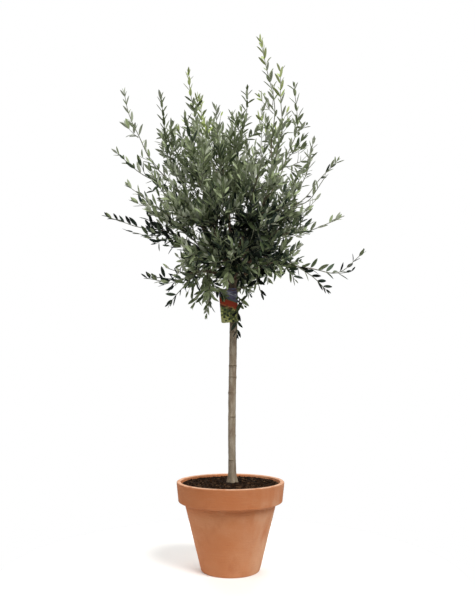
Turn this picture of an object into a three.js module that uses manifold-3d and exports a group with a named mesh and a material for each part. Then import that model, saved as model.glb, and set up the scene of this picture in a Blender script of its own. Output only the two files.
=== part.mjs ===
// A potted olive tree: a standard with a bare, pale trunk and an open, feathery crown, in a round
// terracotta pot filled nearly to the brim with soil. A plain nursery label is looped round the
// trunk just under the crown.
// Millimetres, +Z up, -Y to the front. The origin is the centre of the pot's flat underside.
import * as THREE from "three";
import { mergeVertices } from "three/addons/utils/BufferGeometryUtils.js";
import Module from "manifold-3d";

const wasm = await Module();
wasm.setup();

const UP = new THREE.Vector3(0, 0, 1);
const CLEARANCE = 0.3;
const SMALLEST_EDGE = 0.03;
const GOLDEN_ANGLE = THREE.MathUtils.degToRad(137.5);

// How far a limb's curve runs straight on at either end, as a share of the way across.
const HANDLE = 0.38;

// The pot: a thrown clay pot with a deep collar, its wall tapering to the foot.
const POT = {
  height: 273,
  rimRadius: 165,
  rimCrest: 3.5,
  collarDepth: 62,
  collarFootRadius: 160,
  collarRound: 5,
  shoulderRadius: 141,
  footRadius: 91,
  footRound: 4,
  rimWall: 13,
  wall: 10.5,
  floor: 14,
  segments: 40,
};

const SOIL = { drop: 5, dome: 3, rings: 3 };

// The trunk, from its flat cut on the soil to its tip inside the crown.
const TRUNK = {
  footX: 6,
  lean: 2,
  bow: 1.8,
  top: 965,
  footRadius: 16,
  flareHeight: 40,
  radius: 11.6,
  headStart: 850,
  tipRadius: 6.5,
  sides: 12,
  segments: 16,
};

// Every bough: one tapering limb that leaves the trunk and ends where its sprays begin.
const BOUGH = { footRadius: 5.4, tipRadius: 4.5, sides: 5, segments: 5, liftAtFoot: 40 };

// A spray's own stem, and the ring on the bough's end that several stems stand on.
const SPRAY = { footRadius: 1.95, tipRadius: 1.2, sides: 3, segments: 7, ring: 2.55 };

// The twigs of a spray. Shares are of the spray's own length, and a twig is tried at each of the
// trials' shares of its own length until one stays in the spray's space.
const TWIG = {
  most: 4,
  first: 0.08,
  last: 0.6,
  openAngle: 40,
  openSpread: 14,
  lengthShare: 0.44,
  lengthSpread: 0.3,
  rise: 0.55,
  sag: -0.3,
  footRadius: 1.6,
  tipRadius: 1.1,
  segments: 2,
  trials: [1, 0.8, 0.6, 0.42],
  margin: 1.8,
};

// The leaves stand in opposite pairs, each pair turned a quarter from the last. They are few, so
// each is larger than a real olive leaf.
const LEAF = {
  length: 66,
  width: 18,
  thickness: 1.6,
  widestAt: 0.45,
  spacing: 54,
  firstOnStem: 0.16,
  firstOnTwig: 0.35,
  openAtFoot: 52,
  openAtTip: 30,
  endLeafOpen: 7,
  endLeafAt: 0.985,
  closings: [1, 0.7, 0.45],
  roll: 0.9,
  sizeSpread: 0.28,
  seedStep: 500,
  margin: 0.8,
};

// How closely points stand along the limbs when the crown's space is dealt out.
const WOOD_SPACING = 3;
const TWIG_SPACING = 10;

// The boughs by where they leave the trunk, and the sprays that each one carries. bearing is in
// degrees from +X seen from above, reach is measured from the trunk's axis, height from the ground,
// and lift is the angle above level at which the shoot ends: over 90 it leans back over the crown.
// fill says how twiggy a spray is, from 0, a single long shoot, to 1.
const BOUGHS = [
  { name: "bough_leader", bearing: 150, foot: null, reach: 12, height: 1062, lift: 84,
    sprays: [
      { name: "spray_top_left", bearing: 172, reach: 140, height: 1555, lift: 86, fill: 0.7 },
      { name: "spray_top_front", bearing: 240, reach: 105, height: 1400, lift: 80, fill: 1 },
      { name: "spray_top_back", bearing: 55, reach: 80, height: 1530, lift: 86, fill: 0.9 },
    ] },
  { name: "bough_front_right", bearing: 300, foot: 950, reach: 72, height: 1035, lift: 62,
    sprays: [
      { name: "spray_front_right_high", bearing: 297, reach: 215, height: 1320, lift: 74, fill: 1 },
      { name: "spray_front_right_wide", bearing: 322, reach: 330, height: 1150, lift: 48, fill: 1 },
      { name: "spray_front_right_mid", bearing: 288, reach: 300, height: 1030, lift: 30, fill: 1 },
    ] },
  { name: "bough_back_left", bearing: 140, foot: 944, reach: 72, height: 1050, lift: 66,
    sprays: [
      { name: "spray_back_left_high", bearing: 121, reach: 215, height: 1555, lift: 84, fill: 0.9 },
      { name: "spray_back_left_wide", bearing: 139, reach: 345, height: 1300, lift: 56, fill: 1 },
      { name: "spray_back_top", bearing: 91, reach: 170, height: 1500, lift: 86, fill: 0.9 },
    ] },
  { name: "bough_right_high", bearing: 12, foot: 936, reach: 72, height: 1060, lift: 70,
    sprays: [
      { name: "spray_right_tallest", bearing: 2, reach: 80, height: 1652, lift: 104, fill: 0.5 },
      { name: "spray_right_tall_inner", bearing: 338, reach: 150, height: 1530, lift: 94, fill: 0.6 },
      { name: "spray_right_tall_outer", bearing: 10, reach: 192, height: 1528, lift: 98, fill: 0.7 },
    ] },
  { name: "bough_left_high", bearing: 184, foot: 926, reach: 82, height: 1030, lift: 64,
    sprays: [
      { name: "spray_left_arc", bearing: 180, reach: 340, height: 1492, lift: 78, fill: 0.15 },
      { name: "spray_left_tall", bearing: 194, reach: 225, height: 1445, lift: 84, fill: 0.8 },
      { name: "spray_left_high_arm", bearing: 177, reach: 378, height: 1303, lift: 40, fill: 0.3 },
    ] },
  { name: "bough_back_right", bearing: 62, foot: 921, reach: 82, height: 1008, lift: 60,
    sprays: [
      { name: "spray_back_right_high", bearing: 62, reach: 222, height: 1530, lift: 82, fill: 1 },
      { name: "spray_back_right_wide", bearing: 35, reach: 362, height: 1218, lift: 46, fill: 1 },
      { name: "spray_back_right_low", bearing: 62, reach: 350, height: 1020, lift: 26, fill: 0.9 },
    ] },
  { name: "bough_front_left", bearing: 238, foot: 912, reach: 80, height: 1002, lift: 60,
    sprays: [
      { name: "spray_front_left_high", bearing: 234, reach: 235, height: 1350, lift: 76, fill: 1 },
      { name: "spray_front_left_wide", bearing: 219, reach: 310, height: 1180, lift: 52, fill: 1 },
      { name: "spray_front_middle", bearing: 263, reach: 290, height: 1120, lift: 44, fill: 1 },
    ] },
  { name: "bough_right", bearing: 350, foot: 906, reach: 90, height: 985, lift: 52,
    sprays: [
      { name: "spray_right_upper", bearing: 352, reach: 250, height: 1325, lift: 78, fill: 0.9 },
      { name: "spray_right_high_arm", bearing: 6, reach: 345, height: 1290, lift: 48, fill: 0.6 },
      { name: "spray_right_arm", bearing: 359, reach: 345, height: 1090, lift: 26, fill: 0.6 },
    ] },
  { name: "bough_left_low", bearing: 196, foot: 900, reach: 90, height: 968, lift: 46,
    sprays: [
      { name: "spray_left_short", bearing: 190, reach: 330, height: 1170, lift: 34, fill: 0.8 },
      { name: "spray_left_arm", bearing: 182, reach: 402, height: 1088, lift: 18, fill: 0.4 },
      { name: "spray_left_low_arm", bearing: 174, reach: 290, height: 908, lift: 14, fill: 0.6 },
    ] },
  { name: "bough_front", bearing: 277, foot: 897, reach: 84, height: 946, lift: 34,
    sprays: [
      { name: "spray_front_low", bearing: 268, reach: 260, height: 915, lift: 4, fill: 1 },
      { name: "spray_front_right_low", bearing: 318, reach: 265, height: 960, lift: 22, fill: 1 },
      { name: "spray_front_left_low", bearing: 232, reach: 275, height: 975, lift: 24, fill: 1 },
    ] },
  { name: "bough_back", bearing: 108, foot: 890, reach: 90, height: 965, lift: 48,
    sprays: [
      { name: "spray_back_wide", bearing: 95, reach: 335, height: 1190, lift: 52, fill: 1 },
      { name: "spray_back_low", bearing: 84, reach: 365, height: 960, lift: 12, fill: 0.8 },
      { name: "spray_back_left_low", bearing: 120, reach: 350, height: 1020, lift: 26, fill: 0.9 },
    ] },
  { name: "bough_right_low", bearing: 338, foot: 884, reach: 88, height: 925, lift: 22,
    sprays: [
      { name: "spray_right_low_arm", bearing: 356, reach: 408, height: 982, lift: 44, fill: 0.15 },
      { name: "spray_right_hanging", bearing: 344, reach: 296, height: 838, lift: -46, fill: 0.5 },
      { name: "spray_front_hanging", bearing: 305, reach: 150, height: 815, lift: -64, fill: 0.5 },
    ] },
  { name: "bough_left_lowest", bearing: 216, foot: 879, reach: 84, height: 908, lift: 12,
    sprays: [
      { name: "spray_left_hanging", bearing: 189, reach: 205, height: 802, lift: -52, fill: 0.5 },
      { name: "spray_left_drooping", bearing: 212, reach: 96, height: 765, lift: -78, fill: 0.2 },
      { name: "spray_left_low", bearing: 214, reach: 245, height: 905, lift: 8, fill: 0.9 },
    ] },
];

// A weak sprout on the trunk itself, hanging beside the label.
const SPROUT = {
  name: "sprout_on_trunk", bearing: 322, foot: 836, reach: 44, height: 742, lift: -84, fill: 0.2,
};

// The label: a card on a strap that loops round the trunk.
const LABEL = {
  width: 55,
  height: 104,
  thickness: 0.9,
  corner: 5,
  middleX: -9,
  topZ: 863,
  front: 15.2,
  tilt: 5,
  strapWidth: 7,
  strapThickness: 1,
  strapGap: 0.8,
  strapZ: 850,
  tongueX: -4,
  room: 7,
  segments: 18,
};

const COLOURS = {
  terracotta: new THREE.MeshStandardMaterial({ color: 0xba7650, roughness: 0.9, metalness: 0 }),
  soil: new THREE.MeshStandardMaterial({ color: 0x2b1d12, roughness: 1, metalness: 0 }),
  bark: new THREE.MeshStandardMaterial({ color: 0x8d8272, roughness: 0.9, metalness: 0 }),
  foliage: new THREE.MeshStandardMaterial({ color: 0x5d6b4c, roughness: 0.6, metalness: 0 }),
  card: new THREE.MeshStandardMaterial({ color: 0x8a4a3c, roughness: 0.5, metalness: 0 }),
};

// Repeatable random numbers from 0 to 1, the same for the same seed.
const MODULUS = 2147483647;
const MULTIPLIER = 48271;
const SEED_STEP = 7919;
const WARM_UP = 4;

function seededRandom(seed) {
  let state = (seed * SEED_STEP + MULTIPLIER) % MODULUS;
  const next = () => {
    state = (state * MULTIPLIER) % MODULUS;
    return state / MODULUS;
  };
  for (let i = 0; i < WARM_UP; i++) next();
  return next;
}

const mix = THREE.MathUtils.lerp;
const radians = THREE.MathUtils.degToRad;

// A unit vector along a bearing, tilted up by lift, both in degrees.
function heading(bearing, lift) {
  const level = Math.cos(radians(lift));
  return new THREE.Vector3(
    level * Math.cos(radians(bearing)),
    level * Math.sin(radians(bearing)),
    Math.sin(radians(lift)),
  );
}

// The part of a vector that is square to an axis, at unit length.
function squareTo(axis, vector) {
  return vector.clone().addScaledVector(axis, -vector.dot(axis)).normalize();
}

// The unit vector square to an axis that lies a turn round it from a reference.
function roundAxis(axis, reference, turn) {
  const side = squareTo(axis, reference);
  const other = axis.clone().cross(side);
  return side.multiplyScalar(Math.cos(turn)).addScaledVector(other, Math.sin(turn));
}

// The unit vector that opens from an axis by an angle, towards a vector square to it.
function opened(axis, away, angle) {
  return axis.clone().multiplyScalar(Math.cos(angle)).addScaledVector(away, Math.sin(angle));
}

// A closed three.js geometry as a solid.
function solidOf(geometry) {
  const bare = geometry.clone();
  bare.deleteAttribute("normal");
  bare.deleteAttribute("uv");
  const merged = mergeVertices(bare, 1e-4);
  return new wasm.Manifold(
    new wasm.Mesh({
      numProp: 3,
      vertProperties: new Float32Array(merged.attributes.position.array),
      triVerts: new Uint32Array(merged.index.array),
    }),
  );
}

function geometryOf(solid) {
  const mesh = solid.getMesh();
  return new THREE.BufferGeometry()
    .setAttribute("position", new THREE.BufferAttribute(mesh.vertProperties, 3))
    .setIndex(new THREE.BufferAttribute(mesh.triVerts, 1))
    .toNonIndexed();
}

// The largest body of a solid: what a cut leaves loose is dropped.
function largestBody(solid) {
  return solid.decompose().reduce((best, body) => (body.volume() > best.volume() ? body : best));
}

// A cylinder bent along a curve, with its radius as a function of the share of the way along.
function limb({ curve, radiusAt, sides, segments, reference }) {
  const geometry = new THREE.CylinderGeometry(1, 1, 1, sides, segments);
  const place = geometry.attributes.position;
  for (let i = 0; i < place.count; i++) {
    const along = place.getY(i) + 0.5;
    const tangent = curve.getTangent(along);
    const side = squareTo(tangent, reference);
    const other = side.clone().cross(tangent);
    const radius = radiusAt(along);
    const point = curve
      .getPoint(along)
      .addScaledVector(side, place.getX(i) * radius)
      .addScaledVector(other, place.getZ(i) * radius);
    place.setXYZ(i, point.x, point.y, point.z);
  }
  return geometry;
}

// A closed shape turned about the pot's axis, from [radius, height] pairs.
function turned(profile, segments) {
  const points = profile.map(([radius, height]) => new THREE.Vector2(radius, height));
  return new THREE.LatheGeometry(points, segments).rotateX(Math.PI / 2);
}

// Points of a quarter round in a profile, from one angle to another, in degrees.
function arc(radius, height, round, from, to, steps) {
  return Array.from({ length: steps + 1 }, (_, i) => {
    const angle = radians(mix(from, to, i / steps));
    return [radius + round * Math.cos(angle), height + round * Math.sin(angle)];
  });
}

// The pot's inner wall: it follows the outside up to the collar, then widens to the rim.
const COLLAR_Z = POT.height - POT.collarDepth;
const INNER_RIM = POT.rimRadius - POT.rimWall;
const INNER_SHOULDER = POT.shoulderRadius - POT.wall;
const INNER_FOOT = POT.footRadius - POT.wall;

function innerRadiusAt(height) {
  return height > COLLAR_Z
    ? mix(INNER_SHOULDER, INNER_RIM, (height - COLLAR_Z) / POT.collarDepth)
    : mix(INNER_FOOT, INNER_SHOULDER, (height - POT.floor) / (COLLAR_Z - POT.floor));
}

function makePot() {
  const { height, rimCrest, collarRound, footRound } = POT;
  const profile = [
    [0, 0],
    ...arc(POT.footRadius - footRound, footRound, footRound, -90, -14, 2),
    [POT.shoulderRadius, COLLAR_Z],
    ...arc(POT.collarFootRadius - collarRound, COLLAR_Z + collarRound, collarRound, -80, 5, 2),
    ...arc(POT.rimRadius - rimCrest, height - rimCrest, rimCrest, 5, 90, 2),
    ...arc(INNER_RIM + rimCrest, height - rimCrest, rimCrest, 90, 175, 2),
    [INNER_SHOULDER, COLLAR_Z],
    [INNER_FOOT, POT.floor],
    [0, POT.floor],
  ];
  return turned(profile, POT.segments);
}

// The soil fills the pot from its floor to just under the rim, slightly domed.
function makeSoil() {
  const top = POT.height - SOIL.drop;
  const wall = [POT.floor + CLEARANCE, COLLAR_Z, top - SOIL.dome].map((height) => [
    innerRadiusAt(height) - CLEARANCE,
    height,
  ]);
  const edge = wall.at(-1)[0];
  const dome = Array.from({ length: SOIL.rings - 1 }, (_, i) => {
    const share = 1 - (i + 1) / SOIL.rings;
    return [edge * share, top - SOIL.dome * share ** 2];
  });
  return turned([[0, POT.floor + CLEARANCE], ...wall, ...dome, [0, top]], POT.segments);
}

const TRUNK_FOOT = POT.height - SOIL.drop + CLEARANCE;

// The trunk's centreline leans a little to the right and bows.
class TrunkLine extends THREE.Curve {
  getPoint(along, target = new THREE.Vector3()) {
    const bow = TRUNK.bow * Math.sin(2 * Math.PI * along);
    const height = mix(TRUNK_FOOT, TRUNK.top, along);
    return target.set(TRUNK.footX + TRUNK.lean * along - bow, 0, height);
  }
}
const trunkLine = new TrunkLine();
const trunkPoint = (height) => trunkLine.getPoint((height - TRUNK_FOOT) / (TRUNK.top - TRUNK_FOOT));

// The trunk flares at the soil and tapers from just under the lowest boughs.
function trunkRadiusAt(along) {
  const height = mix(TRUNK_FOOT, TRUNK.top, along);
  const flare = Math.max(0, 1 - (height - TRUNK_FOOT) / TRUNK.flareHeight) ** 2;
  const head = Math.max(0, (height - TRUNK.headStart) / (TRUNK.top - TRUNK.headStart));
  const body = mix(TRUNK.radius, TRUNK.tipRadius, head);
  return body + (TRUNK.footRadius - TRUNK.radius) * flare;
}

function trunkLimb(extra) {
  return limb({
    curve: trunkLine,
    radiusAt: (along) => trunkRadiusAt(along) + extra,
    sides: TRUNK.sides,
    segments: TRUNK.segments,
    reference: new THREE.Vector3(1, 0, 0),
  });
}

// A point out from the trunk's axis.
function outFromTrunk(bearing, reach, height) {
  return heading(bearing, 0).multiplyScalar(reach).add(trunkPoint(TRUNK.top)).setZ(height);
}

// A smooth curve that leaves one point along a direction and ends at another along a second.
function sweep(from, leave, to, arrive) {
  const length = from.distanceTo(to);
  return new THREE.CubicBezierCurve3(
    from,
    from.clone().addScaledVector(leave, HANDLE * length),
    to.clone().addScaledVector(arrive, -HANDLE * length),
    to,
  );
}

function boughCurve(bough) {
  const tip = outFromTrunk(bough.bearing, bough.reach, bough.height);
  if (bough.foot === null) {
    const foot = trunkLine.getPoint(1).add(new THREE.Vector3(0, 0, CLEARANCE));
    return sweep(foot, UP, tip, heading(bough.bearing, bough.lift));
  }
  const leave = heading(bough.bearing, BOUGH.liftAtFoot);
  return sweep(trunkPoint(bough.foot), leave, tip, heading(bough.bearing, bough.lift));
}

// The level direction square to a bearing: every limb is turned about its line from this.
const acrossBearing = (bearing) => heading(bearing + 90, 0);

function makeBough(bough, trunkCutter) {
  const solid = solidOf(
    limb({
      curve: bough.curve,
      radiusAt: (along) => mix(BOUGH.footRadius, BOUGH.tipRadius, along),
      sides: BOUGH.sides,
      segments: BOUGH.segments,
      reference: acrossBearing(bough.bearing),
    }),
  );
  return bough.foot === null ? solid : largestBody(solid.subtract(trunkCutter));
}

// Where the sprays of one bough stand on its end: on a ring, each on the side that it heads for.
function standSprays(bough) {
  const end = bough.curve.getPoint(1);
  const axis = bough.curve.getTangent(1);
  const side = squareTo(axis, acrossBearing(bough.bearing));
  const other = axis.clone().cross(side);
  const wanted = bough.sprays.map((spray) => {
    const target = outFromTrunk(spray.bearing, spray.reach, spray.height).addScaledVector(
      heading(spray.bearing, spray.lift),
      -LEAF.length,
    );
    const away = squareTo(axis, target.clone().sub(end));
    return { spray, target, turn: Math.atan2(away.dot(other), away.dot(side)) };
  });
  wanted.sort((a, b) => a.turn - b.turn);
  const step = (2 * Math.PI) / wanted.length;
  const shift = wanted.reduce((sum, one, i) => sum + one.turn - i * step, 0) / wanted.length;
  wanted.forEach(({ spray, target }, i) => {
    const turn = shift + i * step;
    const foot = end
      .clone()
      .addScaledVector(roundAxis(axis, side, turn), SPRAY.ring)
      .addScaledVector(axis, CLEARANCE);
    spray.curve = sweep(foot, axis, target, heading(spray.bearing, spray.lift));
  });
}

// The twigs of a spray: shoots that leave its stem in turn round it and bend towards the light,
// or down on a spray that hangs.
function growTwigs(spray) {
  const random = seededRandom(spray.seed);
  const reference = acrossBearing(spray.bearing);
  const length = spray.curve.getLength();
  const count = Math.round(TWIG.most * spray.fill);
  const rise = spray.lift > 0 ? TWIG.rise : TWIG.sag;
  const phase = 2 * Math.PI * random();
  return Array.from({ length: count }, (_, k) => {
    const along = mix(TWIG.first, TWIG.last, (k + random()) / count);
    const open = radians(TWIG.openAngle + TWIG.openSpread * random());
    const spread = 1 + TWIG.lengthSpread * (random() - 0.5);
    const size = length * TWIG.lengthShare * (1.1 - along) * spread;
    const axis = spray.curve.getTangent(along);
    const away = roundAxis(axis, reference, phase + k * GOLDEN_ANGLE);
    const leave = opened(axis, away, open);
    const arrive = leave.clone().addScaledVector(UP, rise).normalize();
    return { foot: spray.curve.getPoint(along), leave, arrive, size };
  });
}

function twigCurve({ foot, leave, arrive, size }, share) {
  const reach = leave.clone().add(arrive).normalize().multiplyScalar(size * share);
  return sweep(foot, leave, foot.clone().add(reach), arrive);
}

// What takes up the crown's space: points along every limb, each with its owner and its radius.
// The trunk and the boughs belong to WOOD, and each spray's limbs to the spray.
const WOOD = "wood";

class Space {
  constructor() {
    this.claims = [];
  }

  claim(owner, curve, radius, spacing) {
    const steps = Math.max(2, Math.round(curve.getLength() / spacing));
    for (let i = 0; i <= steps; i++) {
      this.claims.push({ owner, radius, place: curve.getPoint(i / steps) });
    }
  }

  // How far inside its own spray's space a point is: the border between two sprays lies half way
  // between their limbs, and the wood's own surface bounds them all.
  depth(owner, point) {
    let own = Infinity;
    let others = Infinity;
    let wood = Infinity;
    for (const claim of this.claims) {
      const gap = claim.place.distanceTo(point) - claim.radius;
      if (claim.owner === owner) own = Math.min(own, gap);
      else if (claim.owner === WOOD) wood = Math.min(wood, gap);
      else others = Math.min(others, gap);
    }
    return Math.min((others - own) / 2, wood);
  }
}

// A leaf as a kite keeled along its midrib, its root sunk to the twig's axis.
const LEAF_FACES = [[0, 2, 1], [1, 2, 3], [0, 1, 3], [0, 3, 2]].flat();

function leafPoints({ root, axis, across, length, width }) {
  const normal = across.clone().cross(axis);
  const at = (x, y, z) =>
    root
      .clone()
      .addScaledVector(across, x)
      .addScaledVector(axis, y)
      .addScaledVector(normal, z);
  const widest = LEAF.widestAt * length;
  return [
    at(0, 0, 0),
    at(-width / 2, widest, LEAF.thickness),
    at(width / 2, widest, LEAF.thickness),
    at(0, length, 0),
  ];
}

function leafSolid(leaf) {
  const geometry = new THREE.BufferGeometry().setFromPoints(leafPoints(leaf));
  return solidOf(geometry.setIndex(LEAF_FACES));
}

// Where the leaves stand along one shoot: opposite pairs, and one more at its tip.
function leafPlaces(curve, first, phase) {
  const pairs = Math.max(1, Math.round((curve.getLength() * (1 - first)) / LEAF.spacing));
  const places = [];
  for (let pair = 0; pair < pairs; pair++) {
    const along = mix(first, 1, (pair + 1 / 3) / pairs);
    const open = mix(LEAF.openAtFoot, LEAF.openAtTip, along);
    const turn = phase + (pair * Math.PI) / 2;
    places.push({ along, open, turn }, { along, open, turn: turn + Math.PI });
  }
  return [...places, { along: LEAF.endLeafAt, open: LEAF.endLeafOpen, turn: phase }];
}

// The leaves of one shoot. A leaf that doesn't fit is closed up towards its shoot, or skipped.
function growLeaves(curve, reference, first, random, fits) {
  return leafPlaces(curve, first, Math.PI * random()).flatMap(({ along, open, turn }) => {
    const root = curve.getPoint(along);
    const tangent = curve.getTangent(along);
    const away = roundAxis(tangent, reference, turn);
    const hinge = tangent.clone().cross(away);
    const roll = LEAF.roll * (random() - 0.5);
    const size = 1 + LEAF.sizeSpread * (random() - 0.5);
    const length = LEAF.length * size;
    const width = LEAF.width * size;
    const leaf = LEAF.closings
      .map((closing) => {
        const axis = opened(tangent, away, radians(open * closing));
        return { root, axis, across: hinge.clone().applyAxisAngle(axis, roll), length, width };
      })
      .find(fits);
    return leaf ? [leaf] : [];
  });
}

// A leaf keeps to its own spray's space, and off the label, when points all over it do.
const LEAF_TESTS = [0.3, 0.5, 0.7, 0.85, 1].flatMap((along) => {
  const halfWidth = Math.min(along / LEAF.widestAt, (1 - along) / (1 - LEAF.widestAt)) / 2;
  return [-halfWidth, 0, halfWidth].map((share) => ({ along, share }));
});

function leafFits(leaf, spray, space) {
  return LEAF_TESTS.every(({ along, share }) => {
    const point = leaf.root
      .clone()
      .addScaledVector(leaf.axis, leaf.length * along)
      .addScaledVector(leaf.across, leaf.width * share);
    return space.depth(spray.name, point) > LEAF.margin && !nearLabel(point);
  });
}

function nearLabel(point) {
  return (
    Math.abs(point.x - LABEL.middleX) < LABEL.width / 2 + 2 * LABEL.room &&
    Math.abs(point.y + LABEL.front) < LABEL.room &&
    point.z < LABEL.topZ + LABEL.room &&
    point.z > LABEL.topZ - LABEL.height - LABEL.room
  );
}

// One mass of foliage: its stem, its twigs and their leaves, fused into one solid.
function makeSpray(spray, space) {
  const reference = acrossBearing(spray.bearing);
  const random = seededRandom(spray.seed + LEAF.seedStep);
  const shape = { sides: SPRAY.sides, reference };
  const parts = [
    limb({
      ...shape,
      curve: spray.curve,
      segments: SPRAY.segments,
      radiusAt: (along) => mix(SPRAY.footRadius, SPRAY.tipRadius, along),
    }),
    ...spray.twigCurves.map((curve) =>
      limb({
        ...shape,
        curve,
        segments: TWIG.segments,
        radiusAt: (along) => mix(TWIG.footRadius, TWIG.tipRadius, along),
      }),
    ),
  ].map(solidOf);
  const fits = (leaf) => leafFits(leaf, spray, space);
  const leaves = [
    ...growLeaves(spray.curve, reference, LEAF.firstOnStem, random, fits),
    ...spray.twigCurves.flatMap((curve) =>
      growLeaves(curve, reference, LEAF.firstOnTwig, random, fits),
    ),
  ];
  const fused = wasm.Manifold.union([...parts, ...leaves.map(leafSolid)]);
  return largestBody(fused.simplify(SMALLEST_EDGE));
}

// The label's card, tilted in its own plane, with the strap that loops round the trunk.
function makeLabel() {
  const { width, height, corner } = LABEL;
  const shape = new THREE.Shape()
    .moveTo(-width / 2 + corner, -height)
    .lineTo(width / 2 - corner, -height)
    .absarc(width / 2 - corner, -height + corner, corner, -Math.PI / 2, 0)
    .absarc(width / 2 - corner, -corner, corner, 0, Math.PI / 2)
    .absarc(-width / 2 + corner, -corner, corner, Math.PI / 2, Math.PI)
    .absarc(-width / 2 + corner, -height + corner, corner, Math.PI, 1.5 * Math.PI);
  const card = new THREE.ExtrudeGeometry(shape, {
    depth: LABEL.thickness,
    bevelEnabled: false,
    curveSegments: 4,
  })
    .rotateZ(radians(LABEL.tilt))
    .rotateX(Math.PI / 2)
    .translate(LABEL.middleX, -LABEL.front, LABEL.topZ);
  const axis = trunkPoint(LABEL.strapZ);
  const inner = TRUNK.radius + LABEL.strapGap;
  const outer = inner + LABEL.strapThickness;
  const half = LABEL.strapWidth / 2;
  const strap = turned(
    [[inner, -half], [outer, -half], [outer, half], [inner, half], [inner, -half]],
    LABEL.segments,
  ).translate(axis.x, axis.y, axis.z);
  // A short tongue carries the card on the front of the strap.
  const back = inner + LABEL.strapThickness / 2;
  const front = LABEL.front + LABEL.thickness / 2;
  const tongue = new THREE.BoxGeometry(LABEL.strapWidth, front - back, LABEL.strapWidth - 1);
  tongue.translate(axis.x + LABEL.tongueX, -(front + back) / 2, axis.z);
  return wasm.Manifold.union([solidOf(card), solidOf(strap), solidOf(tongue)]);
}

const tree = new THREE.Group();

function addNode(name, geometry, material) {
  const mesh = new THREE.Mesh(geometry, material);
  mesh.name = name;
  tree.add(mesh);
}

addNode("pot", makePot(), COLOURS.terracotta);
addNode("soil", makeSoil(), COLOURS.soil);
addNode("trunk", trunkLimb(0), COLOURS.bark);
addNode("label", geometryOf(makeLabel()), COLOURS.card);

const space = new Space();
space.claim(WOOD, trunkLine, TRUNK.radius, WOOD_SPACING);
const trunkCutter = solidOf(trunkLimb(CLEARANCE));
for (const bough of BOUGHS) {
  bough.curve = boughCurve(bough);
  space.claim(WOOD, bough.curve, BOUGH.footRadius, WOOD_SPACING);
  addNode(bough.name, geometryOf(makeBough(bough, trunkCutter)), COLOURS.bark);
  standSprays(bough);
}

const sproutFoot = trunkPoint(SPROUT.foot).addScaledVector(
  heading(SPROUT.bearing, 0),
  TRUNK.radius + CLEARANCE,
);
SPROUT.curve = sweep(
  sproutFoot,
  heading(SPROUT.bearing, 10),
  outFromTrunk(SPROUT.bearing, SPROUT.reach, SPROUT.height),
  heading(SPROUT.bearing, SPROUT.lift),
);

const sprays = [...BOUGHS.flatMap((bough) => bough.sprays), SPROUT];
sprays.forEach((spray, i) => {
  spray.seed = i + 1;
  space.claim(spray.name, spray.curve, SPRAY.tipRadius, TWIG_SPACING);
});

// Each twig is kept whole, shortened or skipped, so that it stays in its own spray's space. The
// first of its points are still beside its own stem, so they aren't tried.
const TWIG_POINTS = 10;
for (const spray of sprays) {
  const fits = (curve) =>
    curve
      .getPoints(TWIG_POINTS)
      .slice(2)
      .every((point) => space.depth(spray.name, point) > TWIG.margin);
  spray.twigCurves = growTwigs(spray)
    .map((twig) => TWIG.trials.map((share) => twigCurve(twig, share)).find(fits))
    .filter(Boolean);
}
for (const spray of sprays) {
  spray.twigCurves.forEach((curve) => space.claim(spray.name, curve, TWIG.tipRadius, TWIG_SPACING));
}
for (const spray of sprays) {
  addNode(spray.name, geometryOf(makeSpray(spray, space)), COLOURS.foliage);
}

export default tree;
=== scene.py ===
"""Looks of a potted olive tree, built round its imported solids.

The tree is a standard: a bare, pale trunk with an open, feathery crown, in a round terracotta pot
filled nearly to the brim with soil, with a plain printed card hung on the trunk under the crown.
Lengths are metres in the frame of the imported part: +Z is up and the front faces -Y.
"""

import logging
import math
from collections.abc import Callable, Iterable, Mapping, Sequence
from dataclasses import dataclass, field
from enum import Enum
from itertools import combinations

import bpy
import numpy as np
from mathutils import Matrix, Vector, noise


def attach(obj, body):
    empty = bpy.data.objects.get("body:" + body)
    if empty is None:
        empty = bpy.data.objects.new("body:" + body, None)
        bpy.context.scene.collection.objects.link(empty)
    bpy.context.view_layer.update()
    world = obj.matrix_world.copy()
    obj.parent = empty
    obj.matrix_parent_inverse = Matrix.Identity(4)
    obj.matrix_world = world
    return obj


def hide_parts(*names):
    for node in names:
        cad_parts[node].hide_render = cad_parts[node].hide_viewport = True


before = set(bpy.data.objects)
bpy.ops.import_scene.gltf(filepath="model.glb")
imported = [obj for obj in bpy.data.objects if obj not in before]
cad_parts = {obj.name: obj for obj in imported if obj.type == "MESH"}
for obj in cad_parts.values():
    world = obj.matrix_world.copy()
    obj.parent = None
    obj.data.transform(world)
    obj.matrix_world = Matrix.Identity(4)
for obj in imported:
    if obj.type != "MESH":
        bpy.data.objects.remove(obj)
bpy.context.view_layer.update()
LOG = logging.getLogger("potted_olive_tree")

Array = np.ndarray
Colour = tuple[float, float, float, float]
Size = tuple[float, float, float]

UP = np.array((0.0, 0.0, 1.0))
CLEARANCE = 0.0003
GOLDEN_ANGLE = math.radians(137.5)

# How far a limb's curve runs straight on at either end, as a share of the way across.
HANDLE = 0.38

# How far a limb's rounded tip stands out, as a share of its radius.
TIP_ROUND = 0.8


@dataclass(frozen=True)
class Photograph:
    """The photograph: its frame, focal length, horizon and the pot's axis in pixels, and its camera.

    The camera is level, in front of the trunk. distance and eye_height say where, in metres.
    """

    width: float = 475.0
    height: float = 600.0
    focal: float = 600.0
    horizon_row: float = 388.7
    axis_column: float = 230.4
    distance: float = 1.850
    eye_height: float = 0.557

    def place(self, column: float, row: float) -> tuple[float, float]:
        """Where a pixel lies against the trunk: how far to the right and how high, to a millimetre."""
        pixel = self.distance / self.focal
        height = self.eye_height + (self.horizon_row - row) * pixel
        return round((column - self.axis_column) * pixel, 3), round(height, 3)


PHOTOGRAPH = Photograph()


def unit(vectors: Array) -> Array:
    """The vectors at unit length."""
    return vectors / np.linalg.norm(vectors, axis=-1, keepdims=True)


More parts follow.
